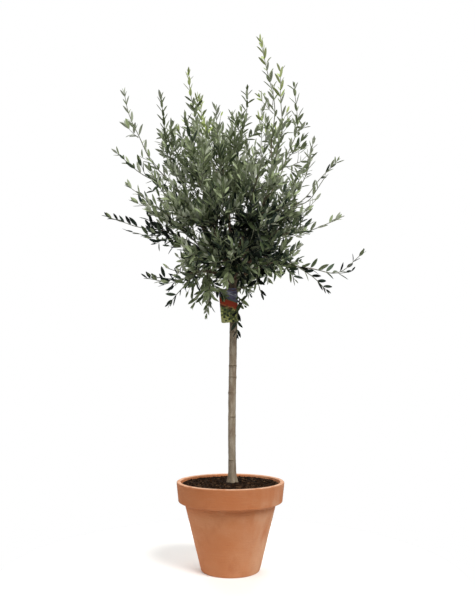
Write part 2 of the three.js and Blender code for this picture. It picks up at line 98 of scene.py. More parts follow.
def mix(low: float, high: float, share: float | Array) -> float | Array:
    """The value a share of the way from low to high."""
    return low + (high - low) * share


def fade(low: float, high: float, values: Array) -> Array:
    """A smooth step that is 0 up to low and 1 from high on.

    Args:
        low: Where the step starts.
        high: Where it ends.
        values: The values to step over.

    Returns:
        The steps, from 0 to 1.
    """
    share = np.clip((values - low) / (high - low), 0.0, 1.0)
    return share * share * (3.0 - 2.0 * share)


def heading(bearing: float, lift: float) -> Array:
    """A unit vector along a bearing, tilted up.

    Args:
        bearing: Degrees from +X, seen from above.
        lift: Degrees above level.

    Returns:
        The direction.
    """
    turn, rise = math.radians(bearing), math.radians(lift)
    return np.array((math.cos(rise) * math.cos(turn), math.cos(rise) * math.sin(turn), math.sin(rise)))


def across_bearing(bearing: float) -> Array:
    """The level direction square to a bearing: every limb is turned about its line from this."""
    return heading(bearing + 90.0, 0.0)


def dot(first: Array, second: Array) -> Array:
    """The dot products of rows of vectors, kept as a column."""
    return np.sum(first * second, axis=-1, keepdims=True)


def square_to(axis: Array, vector: Array) -> Array:
    """The part of a vector that is square to an axis, at unit length."""
    return unit(vector - axis * dot(axis, vector))


def round_axis(axis: Array, reference: Array, turn: float | Array) -> Array:
    """The unit vector square to an axis that lies a turn round it from a reference.

    Args:
        axis: One axis, or a row of them.
        reference: The direction that the turn starts from.
        turn: Radians, one for each axis.

    Returns:
        A unit vector for each axis.
    """
    side = square_to(axis, reference)
    angle = np.asarray(turn)[..., None]
    return side * np.cos(angle) + np.cross(axis, side) * np.sin(angle)


def opened(axis: Array, away: Array, angle: float | Array) -> Array:
    """The unit vector that opens from an axis by an angle in radians, towards one square to it."""
    wide = np.asarray(angle)[..., None]
    return axis * np.cos(wide) + away * np.sin(wide)


def turns(count: int) -> Array:
    """The angles, in radians, of evenly spaced places round a circle."""
    return 2.0 * np.pi * np.arange(count) / count


def circle(angles: Array) -> Array:
    """The level unit vectors at angles from +X."""
    return np.stack((np.cos(angles), np.sin(angles), np.zeros_like(angles)), axis=-1)


def nearest_count(value: float) -> int:
    """The whole number nearest to a value, with halves rounded up as the part's source does."""
    return math.floor(value + 0.5)


class SeededDraws:
    """Repeatable numbers from 0 to 1, drawn for each seed as the part's source draws them."""

    MODULUS = 2147483647
    MULTIPLIER = 48271
    SEED_STEP = 7919
    WARM_UP = 4

    def __init__(self, seed: int) -> None:
        """Starts the row of numbers that belongs to a seed."""
        self.state = (seed * self.SEED_STEP + self.MULTIPLIER) % self.MODULUS
        for _ in range(self.WARM_UP):
            self.draw()

    def draw(self) -> float:
        """The next number."""
        self.state = self.state * self.MULTIPLIER % self.MODULUS
        return self.state / self.MODULUS


@dataclass
class Sweep:
    """A smooth curve that leaves one point along a direction and ends at another along a second."""

    start: Array
    leave: Array
    end: Array
    arrive: Array
    corners: Array = field(init=False)
    size: float = field(init=False)

    def __post_init__(self) -> None:
        """Works out the curve's four corners and its length."""
        handle = HANDLE * float(np.linalg.norm(self.end - self.start))
        inner = (self.start + self.leave * handle, self.end - self.arrive * handle)
        self.corners = np.stack((self.start, *inner, self.end))
        steps = self.points(np.linspace(0.0, 1.0, 101))
        self.size = float(np.linalg.norm(np.diff(steps, axis=0), axis=1).sum())

    def points(self, along: Array) -> Array:
        """The points at shares of the way along."""
        t = np.asarray(along, float)[..., None]
        a, b, c, d = self.corners
        s = 1.0 - t
        return a * s**3 + b * (3.0 * s * s * t) + c * (3.0 * s * t * t) + d * t**3

    def tangents(self, along: Array) -> Array:
        """The unit directions at shares of the way along."""
        t = np.asarray(along, float)[..., None]
        a, b, c, d = self.corners
        s = 1.0 - t
        return unit((b - a) * (s * s) + (c - b) * (2.0 * s * t) + (d - c) * (t * t))


def linear(code: str) -> Colour:
    """A colour given as sRGB hex, as the linear numbers that a shader takes.

    Args:
        code: Such as "#b5714a".

    Returns:
        Red, green, blue and an alpha of 1.
    """
    parts = [int(code[i : i + 2], 16) / 255.0 for i in (1, 3, 5)]
    red, green, blue = (c / 12.92 if c <= 0.04045 else ((c + 0.055) / 1.055) ** 2.4 for c in parts)
    return red, green, blue, 1.0


def add_node(
    tree: bpy.types.NodeTree,
    kind: str,
    settings: Mapping[str, object] | None = None,
    inputs: Mapping[str | int, object] | None = None,
) -> bpy.types.Node:
    """Adds a node to a tree, with its settings and links.

    Args:
        tree: The node tree.
        kind: Blender's name for the kind of node.
        settings: The node's properties by name.
        inputs: For each input, by name or place, a value or the socket to link from.

    Returns:
        The new node.
    """
    made = tree.nodes.new(kind)
    for name, value in (settings or {}).items():
        setattr(made, name, value)
    for name, value in (inputs or {}).items():
        if isinstance(value, bpy.types.NodeSocket):
            tree.links.new(value, made.inputs[name])
        else:
            made.inputs[name].default_value = value
    return made


# The places of the colour sockets on Blender's Mix node, whose names repeat for each kind of data.
MIX_FACTOR, MIX_FIRST, MIX_SECOND, MIX_RESULT = 0, 6, 7, 2


class Pattern(Enum):
    """The shapes that a layer of colour or relief can take."""

    CLOUDS = "ShaderNodeTexNoise"
    GRAINS = "ShaderNodeTexVoronoi"


@dataclass(frozen=True)
class Layer:
    """One pattern on a surface, at a real size.

    size is that of one patch along X, Y and Z. Pattern values from low to high are drawn out to run
    from 0 to 1. share is how much of the second colour shows at most, and depth how far it stands out.
    A layer with a band comes in between those two places along its axis.
    """

    size: Size
    colour: str = ""
    share: float = 1.0
    depth: float = 0.0
    low: float = 0.35
    high: float = 0.65
    detail: float = 3.0
    pattern: Pattern = Pattern.CLOUDS
    band: tuple[float, float] | None = None
    axis: str = "Z"

    def strength(self, tree: bpy.types.NodeTree, place: bpy.types.NodeSocket) -> bpy.types.NodeSocket:
        """Draws the pattern.

        Args:
            tree: The material's nodes.
            place: The coordinates that the pattern lies in, in metres.

        Returns:
            The socket that runs from 0 to 1 over the surface.
        """
        scale = tuple(1.0 / side for side in self.size)
        spot = add_node(tree, "ShaderNodeMapping", inputs={"Vector": place, "Scale": scale})
        inputs: dict[str | int, object] = {"Vector": spot.outputs["Vector"], "Scale": 1.0}
        output = "Distance"
        if self.pattern is Pattern.CLOUDS:
            inputs["Detail"] = self.detail
            output = "Fac"
        drawn = add_node(tree, self.pattern.value, inputs=inputs)
        limits = {"Value": drawn.outputs[output], "From Min": self.low, "From Max": self.high}
        settings = {"interpolation_type": "SMOOTHSTEP"}
        strength = add_node(tree, "ShaderNodeMapRange", settings, limits).outputs["Result"]
        if self.band is None:
            return strength
        spot = add_node(tree, "ShaderNodeSeparateXYZ", inputs={"Vector": place}).outputs[self.axis]
        limits = {"Value": spot, "From Min": self.band[0], "From Max": self.band[1]}
        within = add_node(tree, "ShaderNodeMapRange", settings, limits).outputs["Result"]
        both = add_node(tree, "ShaderNodeMath", {"operation": "MULTIPLY"}, {0: strength, 1: within})
        return both.outputs[0]


@dataclass(frozen=True)
class Finish:
    """A real surface: its ground colour, the layers of colour and relief on it, and its gloss.

    shine is how much of a clean surface's gloss it has, where 0.5 is all of it. sheen is the soft
    light that short hairs catch, and gloss_change how much rougher the last layer's patches are.
    """

    name: str
    ground: str
    roughness: float
    layers: tuple[Layer, ...] = ()
    reliefs: tuple[Layer, ...] = ()
    gloss_change: float = 0.0
    ior: float = 1.5
    shine: float = 0.5
    sheen: float = 0.0

    def material(self) -> bpy.types.Material:
        """The finish as a Blender material, made the first time that it is asked for."""
        return bpy.data.materials.get(self.name) or self.make()

    def make(self) -> bpy.types.Material:
        """Makes the material from its layers.

        Returns:
            The new material.
        """
        material = bpy.data.materials.new(self.name)
        material.use_nodes = True
        tree = material.node_tree
        shader = tree.nodes["Principled BSDF"]
        shader.inputs["IOR"].default_value = self.ior
        shader.inputs["Specular IOR Level"].default_value = self.shine
        shader.inputs["Sheen Weight"].default_value = self.sheen
        shader.inputs["Roughness"].default_value = self.roughness
        shader.inputs["Base Color"].default_value = linear(self.ground)
        place = add_node(tree, "ShaderNodeTexCoord").outputs["Object"]
        self.paint(tree, shader, place)
        self.emboss(tree, shader, place)
        return material

    def base(self, tree: bpy.types.NodeTree, place: bpy.types.NodeSocket) -> object:
        """The colour that the layers lie on: here one even ground."""
        return linear(self.ground)

    def paint(
        self, tree: bpy.types.NodeTree, shader: bpy.types.Node, place: bpy.types.NodeSocket
    ) -> None:
        """Lays the layers of colour over the base, and roughens the surface with the last.

        Args:
            tree: The material's nodes.
            shader: The surface shader.
            place: The coordinates of the surface.
        """
        shade = self.base(tree, place)
        for layer in self.layers:
            strength = layer.strength(tree, place)
            times = {0: strength, 1: layer.share}
            factor = add_node(tree, "ShaderNodeMath", {"operation": "MULTIPLY"}, times)
            inputs = {MIX_FACTOR: factor.outputs[0], MIX_FIRST: shade, MIX_SECOND: linear(layer.colour)}
            mixed = add_node(tree, "ShaderNodeMix", {"data_type": "RGBA"}, inputs)
            shade = mixed.outputs[MIX_RESULT]
        if self.layers:
            tree.links.new(shade, shader.inputs["Base Color"])
        if self.layers and self.gloss_change:
            roughest = self.roughness + self.gloss_change
            limits = {"Value": strength, "To Min": self.roughness, "To Max": roughest}
            rough = add_node(tree, "ShaderNodeMapRange", inputs=limits)
            tree.links.new(rough.outputs["Result"], shader.inputs["Roughness"])

    def emboss(
        self, tree: bpy.types.NodeTree, shader: bpy.types.Node, place: bpy.types.NodeSocket
    ) -> None:
        """Raises the fine relief that is too small for the mesh.

        Args:
            tree: The material's nodes.
            shader: The surface shader.
            place: The coordinates of the surface.
        """
        for layer in self.reliefs:
            inputs = {"Height": layer.strength(tree, place), "Distance": layer.depth}
            before = shader.inputs["Normal"].links
            if before:
                inputs["Normal"] = before[0].from_socket
            bump = add_node(tree, "ShaderNodeBump", inputs=inputs)
            tree.links.new(bump.outputs["Normal"], shader.inputs["Normal"])


# Red earthenware, turned on a wheel and fired without a glaze: chalky, dead matt and clouded, with a
# paler side that is partly lime bloom and partly painted light, painted shade under the collar, a lip
# that is partly worn pale and partly a painted highlight, and a fine grit that breaks up the light.
TERRACOTTA = Finish(
    name="terracotta_wheel_turned_unglazed",
    ground="#ae6c41",
    roughness=0.88,
    layers=(
        Layer((0.12, 0.12, 0.09), "#b87f57", 0.6, low=0.36, high=0.68),
        Layer((0.03, 0.03, 0.05), "#a05e37", 0.4, low=0.48, high=0.74, detail=5.0),
        # The side towards +X is paler: partly lime that has come through the wall, and partly a painted
        # highlight where the light falls on that side.
        Layer(
            (0.05, 0.05, 0.16), "#c7a384", 0.75, low=0.3, high=0.7, detail=5.0, band=(0.0, 0.15), axis="X"
        ),
        # Grains of sand of about 1 mm, drawn at 2.2 mm so that they show.
        Layer((0.0022, 0.0022, 0.0022), "#cda283", 0.3, low=0.6, high=0.74),
        # The rim and the collar are a deeper orange, which fades down the wall just under the collar as
        # painted shade where the collar overhangs it.
        Layer((0.06, 0.06, 0.03), "#ad6334", 0.5, low=0.2, high=0.5, band=(0.175, 0.205)),
        # The top of the lip is paler: partly rubbed by hands and stacking, and partly a painted highlight
        # where the light from above falls on it.
        Layer((0.02, 0.02, 0.02), "#d8b295", 0.65, low=0.2, high=0.6, band=(0.2696, 0.2727)),
    ),
    reliefs=(
        # Sand grit of about 0.8 mm, drawn at 1.6 mm so that it shows.
        Layer((0.0016, 0.0016, 0.0016), depth=0.00022, low=0.3, high=0.7),
        # Lines 3.5 mm apart that the potter's rib drew round the wall.
        Layer((0.03, 0.03, 0.0035), depth=0.0003, low=0.3, high=0.7),
    ),
    gloss_change=0.08,
)

# Peat and composted bark, sieved and watered in: nearly black in its pores, with brown fibres.
POTTING_SOIL = Finish(
    name="potting_soil_sieved_peat",
    ground="#130a03",
    roughness=0.95,
    layers=(
        Layer((0.009, 0.009, 0.009), "#2b1808", 0.8, low=0.42, high=0.64),
        Layer((0.003, 0.003, 0.003), "#5a3b1c", 0.6, low=0.56, high=0.7, detail=5.0),
    ),
    reliefs=(Layer((0.0025, 0.0025, 0.0025), depth=0.0009, low=0.2, high=0.8, detail=5.0),),
    shine=0.1,
)

# Chips of composted bark, broken by a mill: dry on top, so paler than the peat that they lie in.
BARK_CHIP = Finish(
    name="bark_chip_milled",
    ground="#3c2816",
    roughness=0.92,
    layers=(Layer((0.004, 0.004, 0.004), "#765a3f", 0.7, low=0.4, high=0.65),),
    reliefs=(Layer((0.0012, 0.0012, 0.004), depth=0.0004),),
    shine=0.15,
)

# Bark of a young olive stem, grown smooth: grey beige with paler streaks along the stem, brown
# flecks where buds were rubbed off, and a silky rather than a dead surface.
OLIVE_BARK = Finish(
    name="olive_bark_smooth_grown",
    ground="#8c7e69",
    roughness=0.74,
    layers=(
        Layer((0.006, 0.006, 0.06), "#a89c8b", 0.7, low=0.4, high=0.66, detail=4.0),
        Layer((0.02, 0.02, 0.035), "#7c6957", 0.75, low=0.46, high=0.66),
        Layer((0.0028, 0.0028, 0.0016), "#4b3f2e", 0.6, low=0.62, high=0.72),
        # Inside the crown the bark is younger and still reddish brown.
        Layer((0.02, 0.02, 0.03), "#5d4030", 0.8, low=0.2, high=0.5, band=(0.84, 0.92)),
    ),
    reliefs=(
        Layer((0.0016, 0.0016, 0.012), depth=0.00035, low=0.3, high=0.7, detail=5.0),
        # Breathing pores of about 1 mm, drawn at 1.8 mm so that they show.
        Layer((0.0018, 0.0018, 0.0012), depth=0.0003, low=0.6, high=0.75),
    ),
    gloss_change=0.1,
    shine=0.25,
)

# The corky line that is left round an olive stem where a pair of leaves once stood: grown over,
# cracked and darker than the bark.
NODE_SCAR = Finish(
    name="olive_bark_scar_corky",
    ground="#5f503e",
    roughness=0.88,
    layers=(Layer((0.004, 0.004, 0.0015), "#85765f", 0.8, low=0.45, high=0.6),),
    reliefs=(Layer((0.0012, 0.0012, 0.0008), depth=0.0003),),
    shine=0.15,
)

# Two-year wood, where the shoot's skin has turned to a thin brown bark with a dull skin.
BROWN_SHOOT = Finish(
    name="olive_shoot_browned",
    ground="#6e5f4e",
    roughness=0.78,
    layers=(Layer((0.003, 0.003, 0.02), "#928571", 0.7),),
    reliefs=(Layer((0.0008, 0.0008, 0.006), depth=0.0002),),
    shine=0.2,
)

# This year's shoot, grey green under the same silver scales as the underside of its leaves.
YOUNG_SHOOT = Finish(
    name="olive_shoot_young_scaly",
    ground="#6c7058",
    roughness=0.7,
    layers=(Layer((0.004, 0.004, 0.02), "#8f8f78", 0.7),),
    reliefs=(Layer((0.0008, 0.0008, 0.004), depth=0.00012),),
    shine=0.2,
    sheen=0.05,
)

# Paper-covered garden wire, twisted by hand: brown, fibrous and matt.
TIE_WIRE = Finish(
    name="tie_wire_paper_covered",
    ground="#6b4a34",
    roughness=0.85,
    layers=(Layer((0.001, 0.001, 0.003), "#8d6a50", 0.7),),
    reliefs=(Layer((0.0006, 0.0006, 0.001), depth=0.0001),),
)

# The floor of the studio: painted board, rolled, almost white and without gloss.
STUDIO_FLOOR = Finish(
    name="painted_board_rolled",
    ground="#f4f3f0",
    roughness=0.9,
    layers=(Layer((0.6, 0.6, 0.6), "#f1f0ed", 0.6),),
    reliefs=(Layer((0.002, 0.002, 0.002), depth=0.00005),),
)


class LeafTone(Enum):
    """The tones that leaves come in, each as the colours of the upper and the under side.

    The darkest tones are partly painted shade, for leaves in the crown's shadow, and the palest partly
    painted light.
    """

    DEEP = ("#0b120a", "#36433a")
    DARK = ("#1e2c1c", "#66755f")
    OLIVE = ("#435031", "#919c78")
    SAGE = ("#67744d", "#b5bf9d")
    PALE = ("#8e9b6f", "#d2d8c1")
    # Young leaves are yellow green, and are painted paler still: painted light, for the light that shines
    # through them.
    YOUNG = ("#a6b866", "#c9d494")

    def upper(self) -> Finish:
        """The leathery upper side, whose grown skin of wax gives a soft gloss over a dark green."""
        return Finish(
            name=f"olive_leaf_waxed_{self.name.lower()}",
            ground=self.value[0],
            roughness=0.42,
            layers=(Layer((0.012, 0.012, 0.012), self.value[1], 0.16),),
            reliefs=(Layer((0.0015, 0.0015, 0.0015), depth=0.00006),),
            gloss_change=0.12,
            ior=1.45,
            shine=0.2,
        )

    def under(self) -> Finish:
        """The under side, grown over with flat silver scales: pale, dry and faintly velvety."""
        return Finish(
            name=f"olive_leaf_scaly_{self.name.lower()}",
            ground=self.value[1],
            roughness=0.72,
            layers=(Layer((0.012, 0.012, 0.012), self.value[0], 0.14),),
            reliefs=(Layer((0.001, 0.001, 0.001), depth=0.00004),),
            gloss_change=0.08,
            ior=1.4,
            shine=0.15,
            sheen=0.06,
        )


class MeshDraft:
    """The vertices and faces of one piece while it is made, with the finish of each face."""

    def __init__(self) -> None:
        """Starts with no faces."""
        self.vertices: list[Array] = []
        self.faces: list[list[int]] = []
        self.finishes: list[Array] = []
        self.count = 0

    def add(self, vertices: Array, faces: Sequence[Array], finish: int | Array = 0) -> None:
        """Adds a shape.

        Args:
            vertices: Its points.
            faces: Its faces as rows of places in vertices, each array with faces of one size.
            finish: The place of the faces' finish in the piece's list, or one place for each face.
        """
        total = sum(len(group) for group in faces)
        for group in faces:
            self.faces.extend((group + self.count).tolist())
        self.finishes.append(np.broadcast_to(finish, total))
        self.vertices.append(vertices.reshape(-1, 3))
        self.count += len(self.vertices[-1])

    def make(self, name: str, finishes: Sequence[Finish]) -> bpy.types.Object:
        """Makes the piece, shaded smooth with a sharp edge wherever its finish changes.

        Args:
            name: The piece's name.
            finishes: Its finishes.

        Returns:
            The new object, in the scene.
        """
        mesh = bpy.data.meshes.new(name)
        mesh.from_pydata(np.concatenate(self.vertices).tolist(), [], self.faces)
        for finish in finishes:
            mesh.materials.append(finish.material())
        places = np.concatenate(self.finishes).astype(np.int32)
        mesh.polygons.foreach_set("material_index", places)
        mesh.shade_smooth()
        self.sharpen(mesh, places)
        piece = bpy.data.objects.new(name, mesh)
        bpy.context.scene.collection.objects.link(piece)
        return piece

    def sharpen(self, mesh: bpy.types.Mesh, places: Array) -> None:
        """Marks the edges between faces of different finishes as sharp.

        Args:
            mesh: The mesh.
            places: The place of each face's finish.
        """
        edges = np.empty(len(mesh.loops), np.int32)
        mesh.loops.foreach_get("edge_index", edges)
        corners = np.array([len(face) for face in self.faces])
        finish = np.repeat(places, corners)
        lowest = np.full(len(mesh.edges), len(finish), np.int32)
        highest = np.full(len(mesh.edges), -1, np.int32)
        np.minimum.at(lowest, edges, finish)
        np.maximum.at(highest, edges, finish)
        sharp = mesh.attributes.new("sharp_edge", "BOOLEAN", "EDGE")
        sharp.data.foreach_set("value", lowest < highest)


def limb(points: Array, radii: Array, sides: int, reference: Array) -> tuple[Array, list[Array]]:
    """A closed round limb along a row of points, with a rounded tip.

    Args:
        points: The limb's centreline, from foot to tip.
        radii: Its radius at each point, or at each point and side.
        sides: The sides of its section.
        reference: The direction that its first side faces.

    Returns:
        Its vertices and faces.
    """
    steps = len(points)
    along = unit(np.gradient(points, axis=0))
    side = square_to(along, reference)
    other = np.cross(along, side)
    angles = turns(sides)
    ring = side[:, None] * np.cos(angles)[:, None] + other[:, None] * np.sin(angles)[:, None]
    wide = radii[:, None] if radii.ndim == 1 else radii
    wall = points[:, None] + ring * wide[..., None]
    tip = points[-1] + along[-1] * wide[-1].mean() * TIP_ROUND
    vertices = np.concatenate((wall.reshape(-1, 3), points[:1], tip[None]))
    first = np.arange(sides)
    after = (first + 1) % sides
    step = np.arange(steps - 1)[:, None] * sides
    quads = np.stack((step + first, step + after, step + after + sides, step + first + sides), axis=-1)
    foot_fan = np.stack((after, first, np.full(sides, steps * sides)), axis=-1)
    last = (steps - 1) * sides
    tip_fan = np.stack((last + first, last + after, np.full(sides, steps * sides + 1)), axis=-1)
    return vertices, [quads.reshape(-1, 4), foot_fan, tip_fan]


def arc(
    radius: float, height: float, bend: float, start: float, end: float, steps: int
) -> list[tuple[float, float]]:
    """Points of part of a round in a turned profile.

    Args:
        radius: The round's centre, out from the axis.
        height: Its centre's height.
        bend: Its own radius.
        start: The angle that it starts at, in degrees.
        end: The angle that it ends at.
        steps: The steps between them.

    Returns:
        Pairs of radius and height.
    """
    angles = np.radians(np.linspace(start, end, steps + 1))
    return [(radius + bend * math.cos(a), height + bend * math.sin(a)) for a in angles]


def spaced(profile: Sequence[Sequence[float]], step: float) -> Array:
    """A profile with points added so that none are further apart than a step.

    Args:
        profile: Pairs of radius and height.
        step: The widest gap.

    Returns:
        The pairs as rows.
    """
    corners = np.array(profile, float)
    rows = [corners[:1]]
    for start, end in zip(corners[:-1], corners[1:]):
        count = max(1, math.ceil(float(np.linalg.norm(end - start)) / step))
        rows.append(start + (end - start) * np.linspace(0.0, 1.0, count + 1)[1:, None])
    return np.concatenate(rows)


def turned(profile: Array, segments: int) -> tuple[Array, list[Array]]:
    """A closed shape turned about the Z axis.

    Args:
        profile: Pairs of radius and height, from the axis under the shape round to the axis again.
        segments: The steps round the axis.

    Returns:
        Its vertices, ring by ring with the two ends on the axis last, and its faces.
    """
    rings = profile[1:-1]
    wall = rings[:, 0][:, None, None] * circle(turns(segments))
    wall[..., 2] = rings[:, 1:]
    wall = wall.reshape(-1, 3)
    ends = np.array([(0.0, 0.0, profile[0, 1]), (0.0, 0.0, profile[-1, 1])])
    first = np.arange(segments)
    after = (first + 1) % segments
    row = np.arange(len(rings) - 1)[:, None] * segments
    quads = np.stack((row + first, row + after, row + after + segments, row + first + segments), axis=-1)
    low = np.stack((after, first, np.full(segments, len(wall))), axis=-1)
    last = (len(rings) - 1) * segments
    high = np.stack((last + first, last + after, np.full(segments, len(wall) + 1)), axis=-1)
    return np.concatenate((wall, ends)), [quads.reshape(-1, 4), low, high]


def clouded(points: Array, size: Size, octaves: int = 3) -> Array:
    """A seeded, smooth relief at points.

    Args:
        points: Rows of points.
        size: How far apart its hills are along X, Y and Z.
        octaves: How many finer reliefs are laid over the first.

    Returns:
        A height from about -1 to 1 for each point.
    """
    scaled = points / np.array(size)
    return np.array([noise.fractal(Vector(p), 0.9, 2.0, octaves) for p in scaled])


def mount_piece(piece: bpy.types.Object, nodes: Iterable[str]) -> bpy.types.Object:
    """Rides a piece on the plant's one body, in place of the nodes that it stands for.

    Args:
        piece: The piece.
        nodes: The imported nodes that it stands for.

    Returns:
        The piece.
    """
    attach(piece, "root")
    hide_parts(*nodes)
    return piece


@dataclass
class Pot:
    """The pot: thrown clay with a deep collar, its wall tapering to the foot."""

    height: float = 0.273
    rim_radius: float = 0.165
    rim_crest: float = 0.0035
    collar_depth: float = 0.062
    collar_foot_radius: float = 0.160
    collar_round: float = 0.005
    shoulder_radius: float = 0.141
    foot_radius: float = 0.091
    foot_round: float = 0.004
    rim_wall: float = 0.013
    wall: float = 0.0105
    floor: float = 0.014
    segments: int = 192
    profile_step: float = 0.003
    # How far the collar overhangs the shoulder's end.
    undercut: float = 0.002
    # Turning marks left by the maker's fingers, which waver, and climb as they go round.
    mark_pitch: float = 0.0085
    mark_depth: float = 0.00022
    mark_waver: float = 0.8
    mark_climb: float = 40.0
    # How far the fired clay is from a true round, and its lumps.
    warp: float = 0.0006
    lump: float = 0.00035
    lump_size: Size = (0.04, 0.04, 0.03)
    # The relief grows from nothing between these heights, and between these radii of the floor.
    free_heights: tuple[float, float] = (0.004, 0.02)
    free_radii: tuple[float, float] = (0.02, 0.06)

    @property
    def collar_height(self) -> float:
        """The height of the collar's lower edge."""
        return self.height - self.collar_depth

    def inner_radius(self, height: float) -> float:
        """The inner wall's radius at a height.

        Args:
            height: From the ground.

        Returns:
            The radius, which follows the outside up to the collar and then widens to the rim.
        """
        shoulder = self.shoulder_radius - self.wall
        if height > self.collar_height:
            share = (height - self.collar_height) / self.collar_depth
            return mix(shoulder, self.rim_radius - self.rim_wall, share)
        share = (height - self.floor) / (self.collar_height - self.floor)
        return mix(self.foot_radius - self.wall, shoulder, share)

    def profile(self) -> Array:
        """The pot's section, from the middle of its underside round to the middle of its floor."""
        crest, bend, foot = self.rim_crest, self.collar_round, self.foot_round
        inner_rim = self.rim_radius - self.rim_wall
        corners = [
            (0.0, 0.0),
            *arc(self.foot_radius - foot, foot, foot, -90.0, -14.0, 6),
            (self.shoulder_radius, self.collar_height - self.undercut),
            *arc(self.collar_foot_radius - bend, self.collar_height + bend, bend, -90.0, 5.0, 8),
            *arc(self.rim_radius - crest, self.height - crest, crest, 5.0, 90.0, 8),
            *arc(inner_rim + crest, self.height - crest, crest, 90.0, 175.0, 8),
            (self.inner_radius(self.collar_height), self.collar_height),
            (self.inner_radius(self.floor), self.floor),
            (0.0, self.floor),
        ]
        return spaced(corners, self.profile_step)

    def build(self) -> bpy.types.Object:
        """Turns the pot and gives it the marks of the wheel.

        Returns:
            The piece.
        """
        vertices, faces = turned(self.profile(), self.segments)
        radius = np.hypot(vertices[:, 0], vertices[:, 1])
        angle = np.arctan2(vertices[:, 1], vertices[:, 0])
        height = vertices[:, 2]
        waver = self.mark_waver * np.sin(3.0 * angle + self.mark_climb * height)
        marks = np.sin(2.0 * np.pi * height / self.mark_pitch + waver)
        out_of_round = np.cos(2.0 * angle + 0.6) + 0.5 * np.cos(3.0 * angle - 1.1)
        lumps = clouded(vertices, self.lump_size)
        free = fade(*self.free_heights, height) * fade(*self.free_radii, radius)
        relief = self.mark_depth * marks + self.warp * out_of_round + self.lump * lumps
        grown = 1.0 + free * relief / np.maximum(radius, 1e-6)
        vertices[:, :2] *= grown[:, None]
        draft = MeshDraft()
        draft.add(vertices, faces)
        return mount_piece(draft.make("terracotta_pot", (TERRACOTTA,)), ("pot",))


@dataclass
class Soil:
    """The soil: it fills the pot to just under the rim, crumbly and slightly domed."""

    pot: Pot
    drop: float = 0.005
    dome: float = 0.003
    rings: int = 46
    segments: int = 150
    lump: float = 0.0024
    lump_size: Size = (0.016, 0.016, 0.016)
    # The lumps die out this near the pot's wall, and only the top of the soil has them.
    edge_room: float = 0.004
    top_depth: float = 0.02
    # The crumbs: their least size, how much larger they grow, and how large most stay.
    crumbs: int = 1500
    crumb_size: float = 0.0016
    crumb_spread: float = 0.0036
    crumb_bias: int = 3
    crumb_stretch: Size = (1.1, 0.9, 0.8)
    chip_stretch: Size = (1.7, 0.8, 0.5)
    chip_share: float = 0.16
    # Each corner of a crumb is pushed in or out, and the crumb leans a little and stands this high.
    dent: tuple[float, float] = (0.75, 0.4)
    lean: float = 0.5
    stand: float = 0.15
    trunk_room: float = 0.014
    seed: int = 7

    def top_at(self, radius: Array, edge: float) -> Array:
        """The height of the smooth dome at a radius."""
        return self.pot.height - self.drop - self.dome * (radius / edge) ** 2

    def build(self) -> list[bpy.types.Object]:
        """Fills the pot, and strews crumbs and chips on the soil.

        Returns:
            The soil and the chips that lie on it.
        """
        pot = self.pot
        rim_height = pot.height - self.drop - self.dome
        edge = pot.inner_radius(rim_height) - CLEARANCE
        low = pot.floor + CLEARANCE
        wall = [(pot.inner_radius(z) - CLEARANCE, z) for z in (low, pot.collar_height, rim_height)]
        shares = 1.0 - np.arange(1, self.rings) / self.rings
        top = [(edge * s, float(self.top_at(edge * s, edge))) for s in shares]
        profile = np.array([(0.0, low), *wall, *top, (0.0, pot.height - self.drop)])
        vertices, faces = turned(profile, self.segments)
        radius = np.hypot(vertices[:, 0], vertices[:, 1])
        is_top = vertices[:, 2] > pot.collar_height + self.top_depth
        loose = fade(edge, edge - self.edge_room, radius) * is_top
        lumps = clouded(vertices, self.lump_size, 5)
        vertices[:, 2] += self.lump * lumps * loose
        soil = MeshDraft()
        soil.add(vertices, faces)
        chips = MeshDraft()
        self.strew(soil, chips, edge)
        return [
            mount_piece(soil.make("potting_soil", (POTTING_SOIL,)), ("soil",)),
            mount_piece(chips.make("bark_chips_on_soil", (BARK_CHIP,)), ("soil",)),
        ]

    def strew(self, soil: MeshDraft, chips: MeshDraft, edge: float) -> None:
        """Strews crumbs of soil and chips of bark, each a dented ball of twenty faces.

        Args:
            soil: The draft that takes the crumbs.
            chips: The draft that takes the chips.
            edge: The radius of the soil's edge.
        """
        draws = np.random.default_rng(self.seed)
        ball, ball_faces = icosahedron()
        for _ in range(self.crumbs):
            size = self.crumb_size + self.crumb_spread * draws.random() ** self.crumb_bias
            radius = mix(self.trunk_room, edge - size, math.sqrt(draws.random()))
            angle = 2.0 * np.pi * draws.random()
            is_chip = draws.random() < self.chip_share
            stretch = np.array(self.chip_stretch if is_chip else self.crumb_stretch)
            dents = self.dent[0] + self.dent[1] * draws.random((len(ball), 1))
            dented = ball * dents * stretch * size
            spin = 2.0 * np.pi * draws.random()
            lean = self.lean * (draws.random() - 0.5)
            turned_x = dented[:, 0] * math.cos(spin) - dented[:, 1] * math.sin(spin)
            turned_y = dented[:, 0] * math.sin(spin) + dented[:, 1] * math.cos(spin)
            lifted = dented[:, 2] + lean * turned_x
            height = float(self.top_at(radius, edge))
            place = (radius * math.cos(angle), radius * math.sin(angle), height)
            vertices = np.stack((turned_x, turned_y, lifted), axis=-1) + place
            vertices[:, 2] += self.stand * size
            (chips if is_chip else soil).add(vertices, [ball_faces])


def icosahedron() -> tuple[Array, Array]:
    """The vertices and faces of a regular solid of twenty triangles, with a radius of 1."""
    golden = (1.0 + math.sqrt(5.0)) / 2.0
    pairs = [(s, t * golden) for s in (-1.0, 1.0) for t in (-1.0, 1.0)]
    corners = [(0.0, a, b) for a, b in pairs]
    corners += [(a, b, 0.0) for a, b in pairs]
    corners += [(b, 0.0, a) for a, b in pairs]
    vertices = unit(np.array(corners))
    gaps = np.linalg.norm(vertices[:, None] - vertices, axis=-1)
    # Three corners share a face when they are all one edge apart.
    close = gaps < 1.01 * np.sort(gaps[0])[1]
    faces = []
    for i, j, k in combinations(range(len(vertices)), 3):
        if close[i, j] and close[j, k] and close[i, k]:
            outward = np.linalg.det(vertices[[i, j, k]])
            faces.append((i, j, k) if outward > 0.0 else (i, k, j))
    return vertices, np.array(faces)


